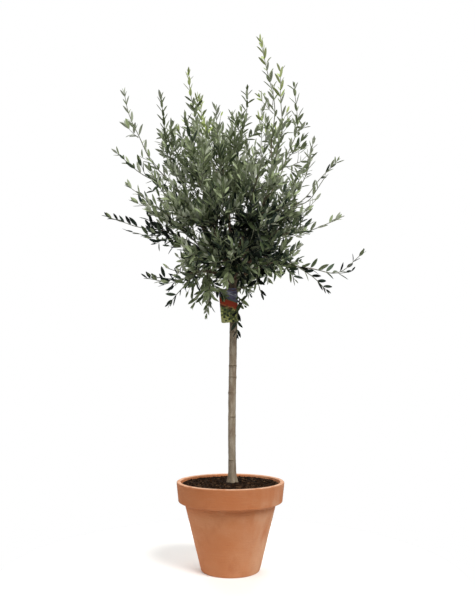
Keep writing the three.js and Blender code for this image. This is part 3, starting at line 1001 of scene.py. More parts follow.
@dataclass(frozen=True)
class SprayPlan:
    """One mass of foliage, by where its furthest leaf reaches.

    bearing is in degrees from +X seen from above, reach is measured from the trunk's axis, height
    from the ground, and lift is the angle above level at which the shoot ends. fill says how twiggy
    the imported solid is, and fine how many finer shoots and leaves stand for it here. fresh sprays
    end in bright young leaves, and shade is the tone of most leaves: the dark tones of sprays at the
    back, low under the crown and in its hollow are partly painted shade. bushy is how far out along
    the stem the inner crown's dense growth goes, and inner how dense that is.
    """

    name: str
    bearing: float
    reach: float
    height: float
    lift: float
    fill: float
    fine: float = 1.0
    shade: LeafTone = LeafTone.OLIVE
    fresh: bool = False
    bushy: float = 0.40
    inner: float = 1.8

    @property
    def node(self) -> str:
        """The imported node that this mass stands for."""
        return self.name if self.name.startswith("sprout") else f"spray_{self.name}"


@dataclass(frozen=True)
class BoughPlan:
    """A bough by where it leaves the trunk and ends, with its sprays. One with no foot is the leader."""

    name: str
    bearing: float
    foot: float | None
    reach: float
    height: float
    lift: float
    sprays: tuple[SprayPlan, ...]


DEEP, DARK, OLIVE, SAGE = LeafTone.DEEP, LeafTone.DARK, LeafTone.OLIVE, LeafTone.SAGE

# A DARK or DEEP spray has darker leaves, partly painted shade for sprays at the back, low under the crown and
# in its hollow.
BOUGH_PLANS = (
    BoughPlan("leader", 150, None, 0.012, 1.062, 84, (
        SprayPlan("top_left", 172, 0.140, 1.555, 86, 0.7, 0.6, SAGE, True, bushy=0.30),
        SprayPlan("top_front", 240, 0.105, 1.400, 80, 1.0, 1.05, bushy=0.40, inner=2.4),
        SprayPlan("top_back", 55, 0.080, 1.530, 86, 0.9, 1.0, bushy=0.35, inner=2.4),
    )),
    BoughPlan("front_right", 300, 0.950, 0.072, 1.035, 62, (
        SprayPlan("front_right_high", 297, 0.215, 1.320, 74, 1.0, 0.65, bushy=0.28),
        SprayPlan("front_right_wide", 322, 0.330, 1.150, 48, 1.0, 0.26, bushy=0.30),
        SprayPlan("front_right_mid", 288, 0.300, 1.030, 30, 1.0, 1.2, DARK),
    )),
    BoughPlan("back_left", 140, 0.944, 0.072, 1.050, 66, (
        SprayPlan("back_left_high", 121, 0.215, 1.555, 84, 0.9, 1.0, OLIVE, True),
        SprayPlan("back_left_wide", 139, 0.345, 1.300, 56, 1.0, 1.0),
        SprayPlan("back_top", 91, 0.170, 1.500, 86, 0.9, 0.85),
    )),
    BoughPlan("right_high", 12, 0.936, 0.072, 1.060, 70, (
        SprayPlan("right_tallest", 2, 0.080, 1.652, 104, 0.5, 0.5, SAGE, True, bushy=0.25),
        SprayPlan("right_tall_inner", 338, 0.150, 1.530, 94, 0.6, 0.42, SAGE, True, bushy=0.25),
        SprayPlan("right_tall_outer", 10, 0.192, 1.528, 98, 0.7, 0.3, bushy=0.20),
    )),
    BoughPlan("left_high", 184, 0.926, 0.082, 1.030, 64, (
        SprayPlan("left_arc", 180, 0.340, 1.492, 78, 0.15, 0.05, SAGE, bushy=0.20),
        SprayPlan("left_tall", 194, 0.225, 1.445, 84, 0.8, 1.0),
        SprayPlan("left_high_arm", 177, 0.378, 1.303, 40, 0.3, 0.26, DARK, bushy=0.25),
    )),
    BoughPlan("back_right", 62, 0.921, 0.082, 1.008, 60, (
        SprayPlan("back_right_high", 62, 0.222, 1.530, 82, 1.0, 0.5),
        SprayPlan("back_right_wide", 35, 0.362, 1.218, 46, 1.0, 0.5),
        SprayPlan("back_right_low", 62, 0.350, 1.020, 26, 0.9, 1.8, DARK),
    )),
    BoughPlan("front_left", 238, 0.912, 0.080, 1.002, 60, (
        SprayPlan("front_left_high", 234, 0.235, 1.350, 76, 1.0, 0.8),
        SprayPlan("front_left_wide", 219, 0.310, 1.180, 52, 1.0, 0.9),
        SprayPlan("front_middle", 263, 0.290, 1.120, 44, 1.0, 1.1),
    )),
    BoughPlan("right", 350, 0.906, 0.090, 0.985, 52, (
        SprayPlan("right_upper", 352, 0.250, 1.325, 78, 0.9, 0.65, bushy=0.20),
        SprayPlan("right_high_arm", 6, 0.345, 1.290, 48, 0.6, 0.27, bushy=0.30),
        SprayPlan("right_arm", 359, 0.345, 1.090, 26, 0.6, 0.3, SAGE, bushy=0.20),
    )),
    BoughPlan("left_low", 196, 0.900, 0.090, 0.968, 46, (
        SprayPlan("left_short", 190, 0.330, 1.170, 34, 0.8, 0.6, bushy=0.50, inner=3.0),
        SprayPlan("left_arm", 182, 0.402, 1.088, 18, 0.4, 0.32, DEEP, bushy=0.45, inner=2.7),
        SprayPlan("left_low_arm", 174, 0.290, 0.908, 14, 0.6, 0.2, DARK, bushy=0.20),
    )),
    BoughPlan("front", 277, 0.897, 0.084, 0.946, 34, (
        SprayPlan("front_low", 268, 0.260, 0.915, 4, 1.0, 2.2),
        SprayPlan("front_right_low", 318, 0.265, 0.960, 22, 1.0, 2.2, DARK, bushy=0.50, inner=2.2),
        SprayPlan("front_left_low", 232, 0.275, 0.975, 24, 1.0, 1.9),
    )),
    BoughPlan("back", 108, 0.890, 0.090, 0.965, 48, (
        SprayPlan("back_wide", 95, 0.335, 1.190, 52, 1.0, 0.8, DARK),
        SprayPlan("back_low", 84, 0.365, 0.960, 12, 0.8, 1.7, DARK),
        SprayPlan("back_left_low", 120, 0.350, 1.020, 26, 0.9, 1.5, DARK),
    )),
    BoughPlan("right_low", 338, 0.884, 0.088, 0.925, 22, (
        SprayPlan("right_low_arm", 356, 0.408, 0.982, 44, 0.15, 0.1, DEEP, bushy=0.15, inner=3.0),
        SprayPlan("right_hanging", 344, 0.296, 0.838, -46, 0.5, 0.2, DEEP, bushy=0.10),
        SprayPlan("front_hanging", 305, 0.150, 0.815, -64, 0.5, 0.4, DARK, bushy=0.35, inner=3.0),
    )),
    BoughPlan("left_lowest", 216, 0.879, 0.084, 0.908, 12, (
        SprayPlan("left_hanging", 189, 0.205, 0.802, -52, 0.5, 0.3, DEEP, bushy=0.30, inner=3.0),
        SprayPlan("left_drooping", 212, 0.096, 0.765, -78, 0.2, 1.0, SAGE, bushy=0.40, inner=2.2),
        SprayPlan("left_low", 214, 0.245, 0.905, 8, 0.9, 0.3, bushy=0.30, inner=2.2),
    )),
)

# A weak sprout on the trunk itself, hanging beside the label.
SPROUT_PLAN = SprayPlan("sprout_on_trunk", 288, 0.037, 0.742, -84, 0.2, 0.2, DEEP)
SPROUT_FOOT = 0.836
SPROUT_BEARING = 322.0
# Its stem stops this much short, since its last leaves hang on from there.
SPROUT_SPARE = 0.025


@dataclass
class Wood:
    """The trunk, from its flat cut on the soil to its tip in the crown, and the boughs that it carries."""

    pot: Pot
    soil_drop: float = 0.005
    foot_x: float = 0.006
    lean: float = 0.002
    bow: float = 0.0018
    top: float = 0.965
    foot_radius: float = 0.016
    flare_height: float = 0.040
    radius: float = 0.0116
    head_start: float = 0.850
    tip_radius: float = 0.0065
    sides: int = 56
    step: float = 0.0025
    bough_foot_radius: float = 0.0054
    bough_tip_radius: float = 0.0045
    bough_lift: float = 40.0
    bough_sides: int = 24
    bough_steps: int = 44
    # The swollen ring of bark where a bough leaves the trunk, and how soon it dies out.
    collar: float = 0.0024
    collar_reach: float = 0.007
    # The flutes of the root flare, the streaks of the bark, and the gentle lumps under them.
    flute: float = 0.20
    flutes: int = 4
    streak: float = 0.00035
    streak_size: Size = (0.0045, 0.0045, 0.030)
    lump: float = 0.0005
    lump_size: Size = (0.016, 0.016, 0.026)
    # How much of the trunk's relief the boughs have.
    bough_relief: float = 0.55
    # Where side shoots were cut off the trunk: height, bearing, and how far the scar stands out.
    scars: tuple[tuple[float, float, float], ...] = (
        (0.338, 250.0, 0.0010),
        (0.412, 30.0, 0.0012),
        (0.471, 290.0, 0.0012),
        (0.544, 200.0, 0.0016),
        (0.593, 330.0, 0.0018),
        (0.627, 262.0, 0.0026),
        (0.684, 120.0, 0.0016),
        (0.731, 300.0, 0.0014),
        (0.792, 215.0, 0.0018),
    )
    # A scar's knob and the ring round the trunk at its height: their size and how far they stand out.
    scar_height: float = 0.0045
    scar_width: float = 0.55
    scar_knob: float = 0.75
    scar_ring: float = 0.28
    ring_sharpness: float = 1.6
    # How far, in radians, the corky line of a scar that stands out this much goes round the trunk.
    cork_reach: float = 1.7
    cork_stand: float = 0.0018

    @property
    def foot(self) -> float:
        """The height of the trunk's flat cut, on the soil."""
        return self.pot.height - self.soil_drop + CLEARANCE

    def line(self, along: Array) -> Array:
        """The trunk's centreline, which leans a little to the right and bows.

        Args:
            along: Shares of the way from foot to tip.

        Returns:
            The points.
        """
        share = np.asarray(along, float)
        x = self.foot_x + self.lean * share - self.bow * np.sin(2.0 * np.pi * share)
        return np.stack((x, np.zeros_like(x), mix(self.foot, self.top, share)), axis=-1)

    def point(self, height: float) -> Array:
        """The trunk's centre at a height."""
        return self.line((height - self.foot) / (self.top - self.foot))

    def length(self) -> float:
        """The trunk's height, which is also its length to within a millimetre."""
        return self.top - self.foot

    def radius_at(self, height: Array) -> Array:
        """The trunk's radius, which flares at the soil and tapers from under the lowest boughs."""
        flare = np.maximum(0.0, 1.0 - (height - self.foot) / self.flare_height) ** 2
        head = np.maximum(0.0, (height - self.head_start) / (self.top - self.head_start))
        return mix(self.radius, self.tip_radius, head) + (self.foot_radius - self.radius) * flare

    def out_from(self, bearing: float, reach: float, height: float) -> Array:
        """A point out from the trunk's axis.

        Args:
            bearing: Degrees from +X.
            reach: From the trunk's tip, on the level.
            height: From the ground.

        Returns:
            The point.
        """
        place = heading(bearing, 0.0) * reach + self.point(self.top)
        place[2] = height
        return place

    def bough_line(self, plan: BoughPlan) -> Sweep:
        """The curve of a bough, from the trunk's axis to where its sprays begin."""
        tip = self.out_from(plan.bearing, plan.reach, plan.height)
        arrive = heading(plan.bearing, plan.lift)
        if plan.foot is None:
            return Sweep(self.line(1.0) + UP * CLEARANCE, UP, tip, arrive)
        return Sweep(self.point(plan.foot), heading(plan.bearing, self.bough_lift), tip, arrive)

    def bark(self, points: Array, depth: float) -> Array:
        """The relief of the bark: streaks along the stem over gentle lumps.

        Args:
            points: Where it is wanted.
            depth: How much of the full relief there is.

        Returns:
            How far the bark stands out at each point.
        """
        flat = points.reshape(-1, 3)
        streaks = clouded(flat, self.streak_size, 3)
        lumps = clouded(flat, self.lump_size, 2)
        return (depth * (self.streak * streaks + self.lump * lumps)).reshape(points.shape[:-1])

    def trunk_radii(self, heights: Array, wall: Array) -> Array:
        """The trunk's radius all over it, with its flutes, scars and bark.

        Args:
            heights: The height of each ring.
            wall: The points of the smooth wall, ring by ring.

        Returns:
            A radius for each ring and side.
        """
        angles = turns(self.sides)
        flare = np.maximum(0.0, 1.0 - (heights - self.foot) / (2.0 * self.flare_height)) ** 2
        flutes = self.flute * flare[:, None] * np.cos(self.flutes * angles + 0.5 * np.sin(angles))
        radii = self.radius_at(heights)[:, None] * (1.0 + flutes)
        for height, bearing, stand in self.scars:
            off = (heights - height) / self.scar_height
            turn = np.angle(np.exp(1j * (angles - math.radians(bearing)))) / self.scar_width
            knob = np.exp(-(off**2))[:, None] * np.exp(-(turn**2))
            ring = np.exp(-((off * self.ring_sharpness) ** 2))[:, None] * np.ones_like(angles)
            radii = radii + stand * (self.scar_knob * knob + self.scar_ring * ring)
        return radii + self.bark(wall, 1.0)

    def add_trunk(self, draft: MeshDraft) -> None:
        """Adds the trunk to the wood's mesh."""
        steps = int(self.length() / self.step)
        along = np.linspace(0.0, 1.0, steps + 1)
        points = self.line(along)
        wall = points[:, None] + circle(turns(self.sides)) * self.radius_at(points[:, 2])[:, None, None]
        radii = self.trunk_radii(points[:, 2], wall)
        corky = self.corky_faces((points[1:, 2] + points[:-1, 2]) / 2.0)
        finish = np.concatenate((corky.reshape(-1).astype(int), np.zeros(2 * self.sides, int)))
        draft.add(*limb(points, radii, self.sides, np.array((1.0, 0.0, 0.0))), finish)

    def corky_faces(self, heights: Array) -> Array:
        """Picks the faces of the trunk's wall that lie on a scar's corky line.

        Args:
            heights: The middle height of each row of faces.

        Returns:
            True for those faces, by row and side.
        """
        angles = turns(self.sides) + math.pi / self.sides
        corky = np.zeros((len(heights), self.sides), bool)
        for height, bearing, stand in self.scars:
            turn = np.abs(np.angle(np.exp(1j * (angles - math.radians(bearing)))))
            reach = self.cork_reach * (stand / self.cork_stand) ** 2
            corky |= (np.abs(heights - height) < self.step / 2.0)[:, None] & (turn < reach)
        return corky

    def add_bough(self, draft: MeshDraft, plan: BoughPlan) -> None:
        """Adds a bough, with the collar that it stands in."""
        line = self.bough_line(plan)
        along = np.linspace(0.0, 1.0, self.bough_steps)
        points = line.points(along)
        out = np.linalg.norm(points[:, :2] - self.point(self.top)[:2], axis=1)
        clear = np.maximum(0.0, out - self.radius_at(points[:, 2]))
        radii = mix(self.bough_foot_radius, self.bough_tip_radius, along)
        if plan.foot is not None:
            radii = radii + self.collar * np.exp(-clear / self.collar_reach)
        reference = across_bearing(plan.bearing)
        wall, _ = limb(points, radii, self.bough_sides, reference)
        wall = wall[:-2].reshape(self.bough_steps, self.bough_sides, 3)
        relief = self.bark(wall, self.bough_relief)
        draft.add(*limb(points, radii[:, None] + relief, self.bough_sides, reference))

    def build(self) -> bpy.types.Object:
        """Makes the barked wood, in place of the trunk and every bough.

        Returns:
            The piece.
        """
        draft = MeshDraft()
        self.add_trunk(draft)
        for plan in BOUGH_PLANS:
            self.add_bough(draft, plan)
        nodes = ("trunk", *(f"bough_{plan.name}" for plan in BOUGH_PLANS))
        piece = draft.make("barked_trunk_and_boughs", (OLIVE_BARK, NODE_SCAR))
        return mount_piece(piece, nodes)


@dataclass
class Label:
    """The label: a printed card on a strap that loops round the trunk, with a twist of wire."""

    wood: Wood
    width: float = 0.055
    height: float = 0.104
    thickness: float = 0.0009
    corner: float = 0.005
    middle_x: float = -0.009
    top_z: float = 0.863
    front: float = 0.0152
    tilt: float = 5.0
    curl: float = 0.0016
    strap_width: float = 0.007
    strap_thickness: float = 0.001
    strap_gap: float = 0.0008
    strap_z: float = 0.850
    room: float = 0.007
    strap_sides: int = 64
    wire_radius: float = 0.0009
    wire_sides: int = 8
    # The wire's loop lies over the strap, and its knot stands out in front of the trunk.
    wire_lift: float = 0.006
    wire_gap: float = 0.0022
    knot_out: float = 0.0035
    # Where the wire's two ends are, from its knot.
    left_end: Size = (-0.058, -0.005, -0.007)
    right_end: Size = (0.030, -0.003, 0.010)
    # The cells of the card's mesh.
    columns: int = 22
    rows: int = 40

    def card(self) -> tuple[Array, list[Array]]:
        """The card, curled a little about its length.

        Returns:
            Its vertices and faces.
        """
        columns, rows = self.columns, self.rows
        height = np.linspace(0.0, -self.height, rows + 1)
        grid = []
        for z in height:
            inside = max(0.0, self.corner - min(-z, self.height + z))
            half = self.width / 2 - self.corner + math.sqrt(max(0.0, self.corner**2 - inside**2))
            grid.append([(half * s, z) for s in np.linspace(-1.0, 1.0, columns + 1)])
        flat = np.array(grid)
        lean = math.radians(self.tilt)
        x = flat[..., 0] * math.cos(lean) - flat[..., 1] * math.sin(lean) + self.middle_x
        z = flat[..., 0] * math.sin(lean) + flat[..., 1] * math.cos(lean) + self.top_z
        sag = self.curl * (1.0 - (2.0 * flat[..., 0] / self.width) ** 2)
        y = -self.front - sag
        front = np.stack((x, y - self.thickness / 2, z), axis=-1).reshape(-1, 3)
        back = front + np.array((0.0, self.thickness, 0.0))
        count, wide = len(front), columns + 1
        cell = (np.arange(rows)[:, None] * wide + np.arange(columns)).reshape(-1)
        front_faces = np.stack((cell, cell + wide, cell + wide + 1, cell + 1), axis=-1)
        back_faces = front_faces[:, ::-1] + count
        rim = np.concatenate((
            np.arange(columns),
            np.arange(rows) * wide + columns,
            np.arange(columns, 0, -1) + rows * wide,
            np.arange(rows, 0, -1) * wide,
        ))
        after = np.roll(rim, -1)
        rim_faces = np.stack((rim, after, after + count, rim + count), axis=-1)
        return np.concatenate((front, back)), [front_faces, back_faces, rim_faces]

    def strap(self) -> tuple[Array, list[Array]]:
        """The strap: a flat band round the trunk."""
        centre = self.wood.point(self.strap_z)
        inner = self.wood.radius + self.strap_gap
        outer = inner + self.strap_thickness
        half = self.strap_width / 2
        angles = turns(self.strap_sides)
        section = ((inner, -half), (outer, -half), (outer, half), (inner, half))
        rings = [centre + circle(angles) * radius + UP * height for radius, height in section]
        first = np.arange(len(angles))
        after = (first + 1) % len(angles)
        faces = []
        for i in range(len(section)):
            low, high = i * len(angles), (i + 1) % len(section) * len(angles)
            faces.append(np.stack((low + first, low + after, high + after, high + first), axis=-1))
        return np.concatenate(rings), faces

    def build(self) -> list[bpy.types.Object]:
        """Makes the card, its strap and the twist of wire that closes the strap.

        Returns:
            The three pieces.
        """
        card = MeshDraft()
        vertices, faces = self.card()
        # The front is printed, and the back and the rim are bare.
        finish = np.concatenate([np.full(len(group), min(i, 1)) for i, group in enumerate(faces)])
        card.add(vertices, faces, finish)
        strap = MeshDraft()
        strap.add(*self.strap())
        wire = MeshDraft()
        for points in self.wire_lines():
            radii = np.full(len(points), self.wire_radius)
            wire.add(*limb(points, radii, self.wire_sides, UP))
        printed = PrintedCard(label=self)
        return [
            mount_piece(card.make("label_card", (printed, BARE_CARD)), ("label",)),
            mount_piece(strap.make("label_strap", (BARE_CARD,)), ("label",)),
            mount_piece(wire.make("label_tie_wire", (TIE_WIRE,)), ("label",)),
        ]

    def wire_lines(self) -> list[Array]:
        """The centrelines of the wire's loop and its two free ends."""
        centre = self.wood.point(self.strap_z + self.wire_lift)
        radius = self.wood.radius + self.wire_gap
        loop = centre + circle(np.radians(np.linspace(-75.0, 255.0, 49))) * radius
        knot = centre + np.array((0.0, -radius - self.knot_out, 0.0))
        left_end, right_end = knot + np.array(self.left_end), knot + np.array(self.right_end)
        left = Sweep(knot, heading(200.0, 20.0), left_end, heading(182.0, -16.0))
        right = Sweep(knot, heading(340.0, 30.0), right_end, heading(355.0, 30.0))
        along = np.linspace(0.0, 1.0, 13)
        return [loop, left.points(along), right.points(along)]


BARE_CARD = Finish(
    name="polypropylene_card_cut",
    ground="#5b6a4a",
    roughness=0.45,
    layers=(Layer((0.004, 0.004, 0.004), "#6f7d5c", 0.5),),
    reliefs=(Layer((0.0012, 0.0012, 0.0012), depth=0.00003),),
    ior=1.49,
)


@dataclass(frozen=True, kw_only=True)
class PrintedCard(Finish):
    """Polypropylene card, printed in flat inks: even colours with clean edges under a soft gloss.

    The print is a plain one of slanting bands and round spots: no words, no picture and no mark.
    """

    label: Label
    name: str = "polypropylene_card_printed"
    ground: str = "#8d8aac"
    roughness: float = 0.36
    ior: float = 1.49
    slant: float = 0.34
    # Each band's upper edge as a share of the card's height from its top, and its ink.
    bands: tuple[tuple[float, str], ...] = (
        (0.08, "#d2d2e2"),
        (0.16, "#8683a4"),
        (0.29, "#6f8c70"),
        (0.33, "#c64a2a"),
        (0.50, "#d57a4d"),
        (0.53, "#7d4a2c"),
        (0.58, "#6f7a48"),
        (0.90, "#c4c88a"),
    )
    # Over the bands lie clear spots on the lower part, dark ones round them, and a cloud at the top.
    layers: tuple[Layer, ...] = (
        Layer((0.008,) * 3, "#dde088", 1.0, low=0.55, high=0.42, pattern=Pattern.GRAINS, band=(0.812, 0.795)),
        Layer((0.011,) * 3, "#3a472c", 1.0, low=0.42, high=0.32, pattern=Pattern.GRAINS, band=(0.822, 0.800)),
        Layer((0.014, 0.014, 0.007), "#4c4668", 0.7, low=0.5, high=0.6, band=(0.826, 0.836)),
    )
    reliefs: tuple[Layer, ...] = (Layer((0.0012, 0.0012, 0.0012), depth=0.00003),)

    def base(self, tree: bpy.types.NodeTree, place: bpy.types.NodeSocket) -> object:
        """Prints the bands, each from its upper edge down.

        Args:
            tree: The material's nodes.
            place: The coordinates of the surface.

        Returns:
            The socket that gives the bands' colours.
        """
        parts = add_node(tree, "ShaderNodeSeparateXYZ", inputs={"Vector": place})
        slope = {0: parts.outputs["X"], 1: self.slant, 2: parts.outputs["Z"]}
        height = add_node(tree, "ShaderNodeMath", {"operation": "MULTIPLY_ADD"}, slope).outputs[0]
        top = self.label.top_z + self.slant * self.label.middle_x
        shade = super().base(tree, place)
        for share, ink in self.bands:
            edge = top - share * self.label.height
            below = add_node(tree, "ShaderNodeMath", {"operation": "LESS_THAN"}, {0: height, 1: edge})
            inputs = {MIX_FACTOR: below.outputs[0], MIX_FIRST: shade, MIX_SECOND: linear(ink)}
            shade = add_node(tree, "ShaderNodeMix", {"data_type": "RGBA"}, inputs).outputs[MIX_RESULT]
        return shade


class ShootRank(Enum):
    """The ranks of shoot: a spray's own stem, the twigs on it, and the side shoots on both.

    Each has the radius at its foot and at its tip, its sides, and where its leaves start.
    """

    STEM = (0.0024, 0.0009, 8, 0.06)
    TWIG = (0.0016, 0.0007, 6, 0.10)
    SIDE = (0.0010, 0.0006, 5, 0.16)

    @property
    def radii(self) -> tuple[float, float]:
        """The radius at the foot and at the tip."""
        return self.value[0], self.value[1]

    @property
    def sides(self) -> int:
        """The sides of the shoot's section."""
        return self.value[2]

    @property
    def first_leaf(self) -> float:
        """The share of the way along where the leaves start."""
        return self.value[3]


@dataclass
class Shoot:
    """A leafy shoot: its line, which wanders a little from pair to pair of leaves, and its rank.

    It grows on past the line's end by the length of its tip, to where the solid's last leaf ends.
    """

    line: Sweep
    rank: ShootRank
    reference: Array
    phases: Array
    tip: float = 0.0
    wander: float = 0.012

    def points(self, along: Array) -> Array:
        """The shoot's centre at shares of the way along."""
        share = np.asarray(along, float)
        line = self.line
        grown = share * self.length() / line.size
        past = np.maximum(0.0, share * self.length() - line.size)
        size = float(np.linalg.norm(line.end - line.start)) * self.wander
        axis = unit(line.end - line.start)
        side = square_to(axis, self.reference)
        other = np.cross(axis, side)
        swing = np.sin(np.pi * share)
        first = size * swing * np.sin(2.0 * np.pi * (1.6 * share + self.phases[0]))
        second = size * swing * np.sin(2.0 * np.pi * (2.3 * share + self.phases[1]))
        centre = line.points(np.minimum(grown, 1.0)) + line.arrive * past[..., None]
        return centre + side * first[..., None] + other * second[..., None]

    def tangents(self, along: Array) -> Array:
        """The shoot's directions at shares of the way along."""
        share = np.asarray(along, float)
        near = 0.004
        return unit(self.points(np.minimum(share + near, 1.0)) - self.points(np.maximum(share - near, 0.0)))

    def length(self) -> float:
        """The shoot's length."""
        return self.line.size + self.tip


@dataclass
class Spray:
    """One mass of foliage while it grows: its plan, the seed of its draws, and its shoots."""

    plan: SprayPlan
    seed: int
    stem: Sweep
    twigs: list[Sweep] = field(default_factory=list)
    shoots: list[Shoot] = field(default_factory=list)


@dataclass
class Space:
    """What takes up the crown's space: points along every limb, with their owner and their radius.

    Every spray keeps to its own space: the border between two sprays lies half way between their
    limbs, and the wood's own surface bounds them all.
    """

    places: list[Array] = field(default_factory=list)
    radii: list[Array] = field(default_factory=list)
    owners: list[Array] = field(default_factory=list)
    packed: tuple[Array, Array, Array] | None = None

    WOOD = -1

    def claim(
        self, owner: int, points: Callable[[Array], Array], length: float, radius: float, step: float
    ) -> None:
        """Claims the space along a limb.

        Args:
            owner: The seed of the limb's spray, or WOOD.
            points: The limb's line.
            length: Its length.
            radius: Its radius.
            step: How far apart the points stand.
        """
        steps = max(2, nearest_count(length / step))
        row = points(np.arange(steps + 1) / steps)
        self.places.append(row)
        self.radii.append(np.full(len(row), radius))
        self.owners.append(np.full(len(row), owner))
        self.packed = None

    def depth(self, owner: int, points: Array) -> Array:
        """How far inside its own spray's space each point is.

        Args:
            owner: The spray's seed.
            points: Rows of points.

        Returns:
            The depths, below 0 outside.
        """
        if self.packed is None:
            stacked = (np.concatenate(self.places), np.concatenate(self.radii), np.concatenate(self.owners))
            self.packed = stacked
        places, radii, owners = self.packed
        squared = (points**2).sum(1)[:, None] + (places**2).sum(1)[None] - 2.0 * points @ places.T
        gaps = np.sqrt(np.maximum(squared, 0.0)) - radii
        own = gaps[:, owners == owner].min(1)
        wood = gaps[:, owners == self.WOOD].min(1)
        others = gaps[:, (owners != owner) & (owners != self.WOOD)].min(1)
        return np.minimum((others - own) / 2.0, wood)


@dataclass
class LeafCrop:
    """The leaves of one piece while they grow, as rows that are joined when the piece is made."""

    roots: list[Array] = field(default_factory=list)
    axes: list[Array] = field(default_factory=list)
    rights: list[Array] = field(default_factory=list)
    lengths: list[Array] = field(default_factory=list)
    bows: list[Array] = field(default_factory=list)
    tones: list[Array] = field(default_factory=list)


@dataclass(frozen=True)
class Blade:
    """An olive leaf: lance-shaped, folded a little along its midrib, on a short stalk."""

    width: float = 0.280
    stalk: float = 0.085
    stalk_width: float = 0.13
    stations: tuple[float, ...] = (0.1, 0.25, 0.45, 0.65, 0.83)
    fold: float = 0.26
    thickness: float = 0.00055
    # Where a leaf's edges are tested for room, as shares of its length.
    tested: tuple[float, ...] = (0.35, 0.6, 0.8)

    def half_width(self, share: float) -> float:
        """The half width at a share of the blade's length, as a share of the widest."""
        return math.sin(math.pi * share**0.85) ** 0.66

    def edge_places(self) -> Array:
        """Places on a leaf's edges and its tip, as shares of its length: along it and across."""
        half = self.width / 2.0
        edges = [(s, side * self.half_width(s) * half) for s in self.tested for side in (-1.0, 1.0)]
        return np.array([*edges, (1.0, 0.0)])

    def rings(self) -> Array:
        """Each section's place along the leaf and its half width, as shares."""
        blade = [(mix(self.stalk, 1.0, s), self.half_width(s)) for s in self.stations]
        return np.array([(self.stalk, self.stalk_width), *blade])

    def grow(self, crop: LeafCrop) -> tuple[Array, list[Array], Array]:
        """Makes every leaf of a crop, each a closed body of its own.

        Args:
            crop: Where the leaves stand and how they are turned.

        Returns:
            The vertices, the faces, and for each face twice its leaf's tone, plus 1 underneath.
        """
        root = np.concatenate(crop.roots)[:, None]
        axis = np.concatenate(crop.axes)[:, None]
        right = np.concatenate(crop.rights)[:, None]
        length = np.concatenate(crop.lengths)[:, None, None]
        bow = np.concatenate(crop.bows)[:, None, None]
        tone = np.concatenate(crop.tones)
        face = np.cross(right, axis)
        rings = self.rings()
        along = np.concatenate(((0.0,), np.repeat(rings[:, 0], 4), (1.0,)))
        side = np.concatenate(((0.0,), (rings[:, 1:2] * np.array((-1.0, 0.0, 1.0, 0.0))).ravel(), (0.0,)))
        under = np.concatenate(((0.0,), np.tile((0.0, 0.0, 0.0, 1.0), len(rings)), (0.0,)))
        along, side, under = along[None, :, None], side[None, :, None], under[None, :, None]
        half = length * self.width / 2.0
        lift = half * self.fold * np.abs(side) - length * bow * along**2 - self.thickness * under
        vertices = root + axis * (length * along) + right * (half * side) + face * lift
        return vertices, *self.faces(len(rings), len(tone), tone)

    def faces(self, rings: int, leaves: int, tone: Array) -> tuple[list[Array], Array]:
        """The faces of every leaf, and the finish of each.

        Args:
            rings: The sections of a leaf.
            leaves: The number of leaves.
            tone: Each leaf's tone.

        Returns:
            The faces, and for each twice its leaf's tone, plus 1 underneath.
        """
        quads, quad_under, fans, fan_under = [], [], [], []
        for ring in range(rings - 1):
            for corner in range(4):
                a, b = 1 + 4 * ring + corner, 1 + 4 * ring + (corner + 1) % 4
                quads.append((a, b, b + 4, a + 4))
                quad_under.append(corner >= 2)
        last = 1 + 4 * rings
        for corner in range(4):
            after = (corner + 1) % 4
            fans.append((0, 1 + after, 1 + corner))
            fans.append((last - 4 + corner, last - 4 + after, last))
            fan_under.extend((corner >= 2, corner >= 2))
        first = (np.arange(leaves) * (last + 1))[:, None, None]
        quad_rows = (np.array(quads)[None] + first).reshape(-1, 4)
        fan_rows = (np.array(fans)[None] + first).reshape(-1, 3)
        finish = [(2 * tone[:, None] + np.array(side)[None]).ravel() for side in (quad_under, fan_under)]
        return [quad_rows, fan_rows], np.concatenate(finish)


TONES = tuple(LeafTone)


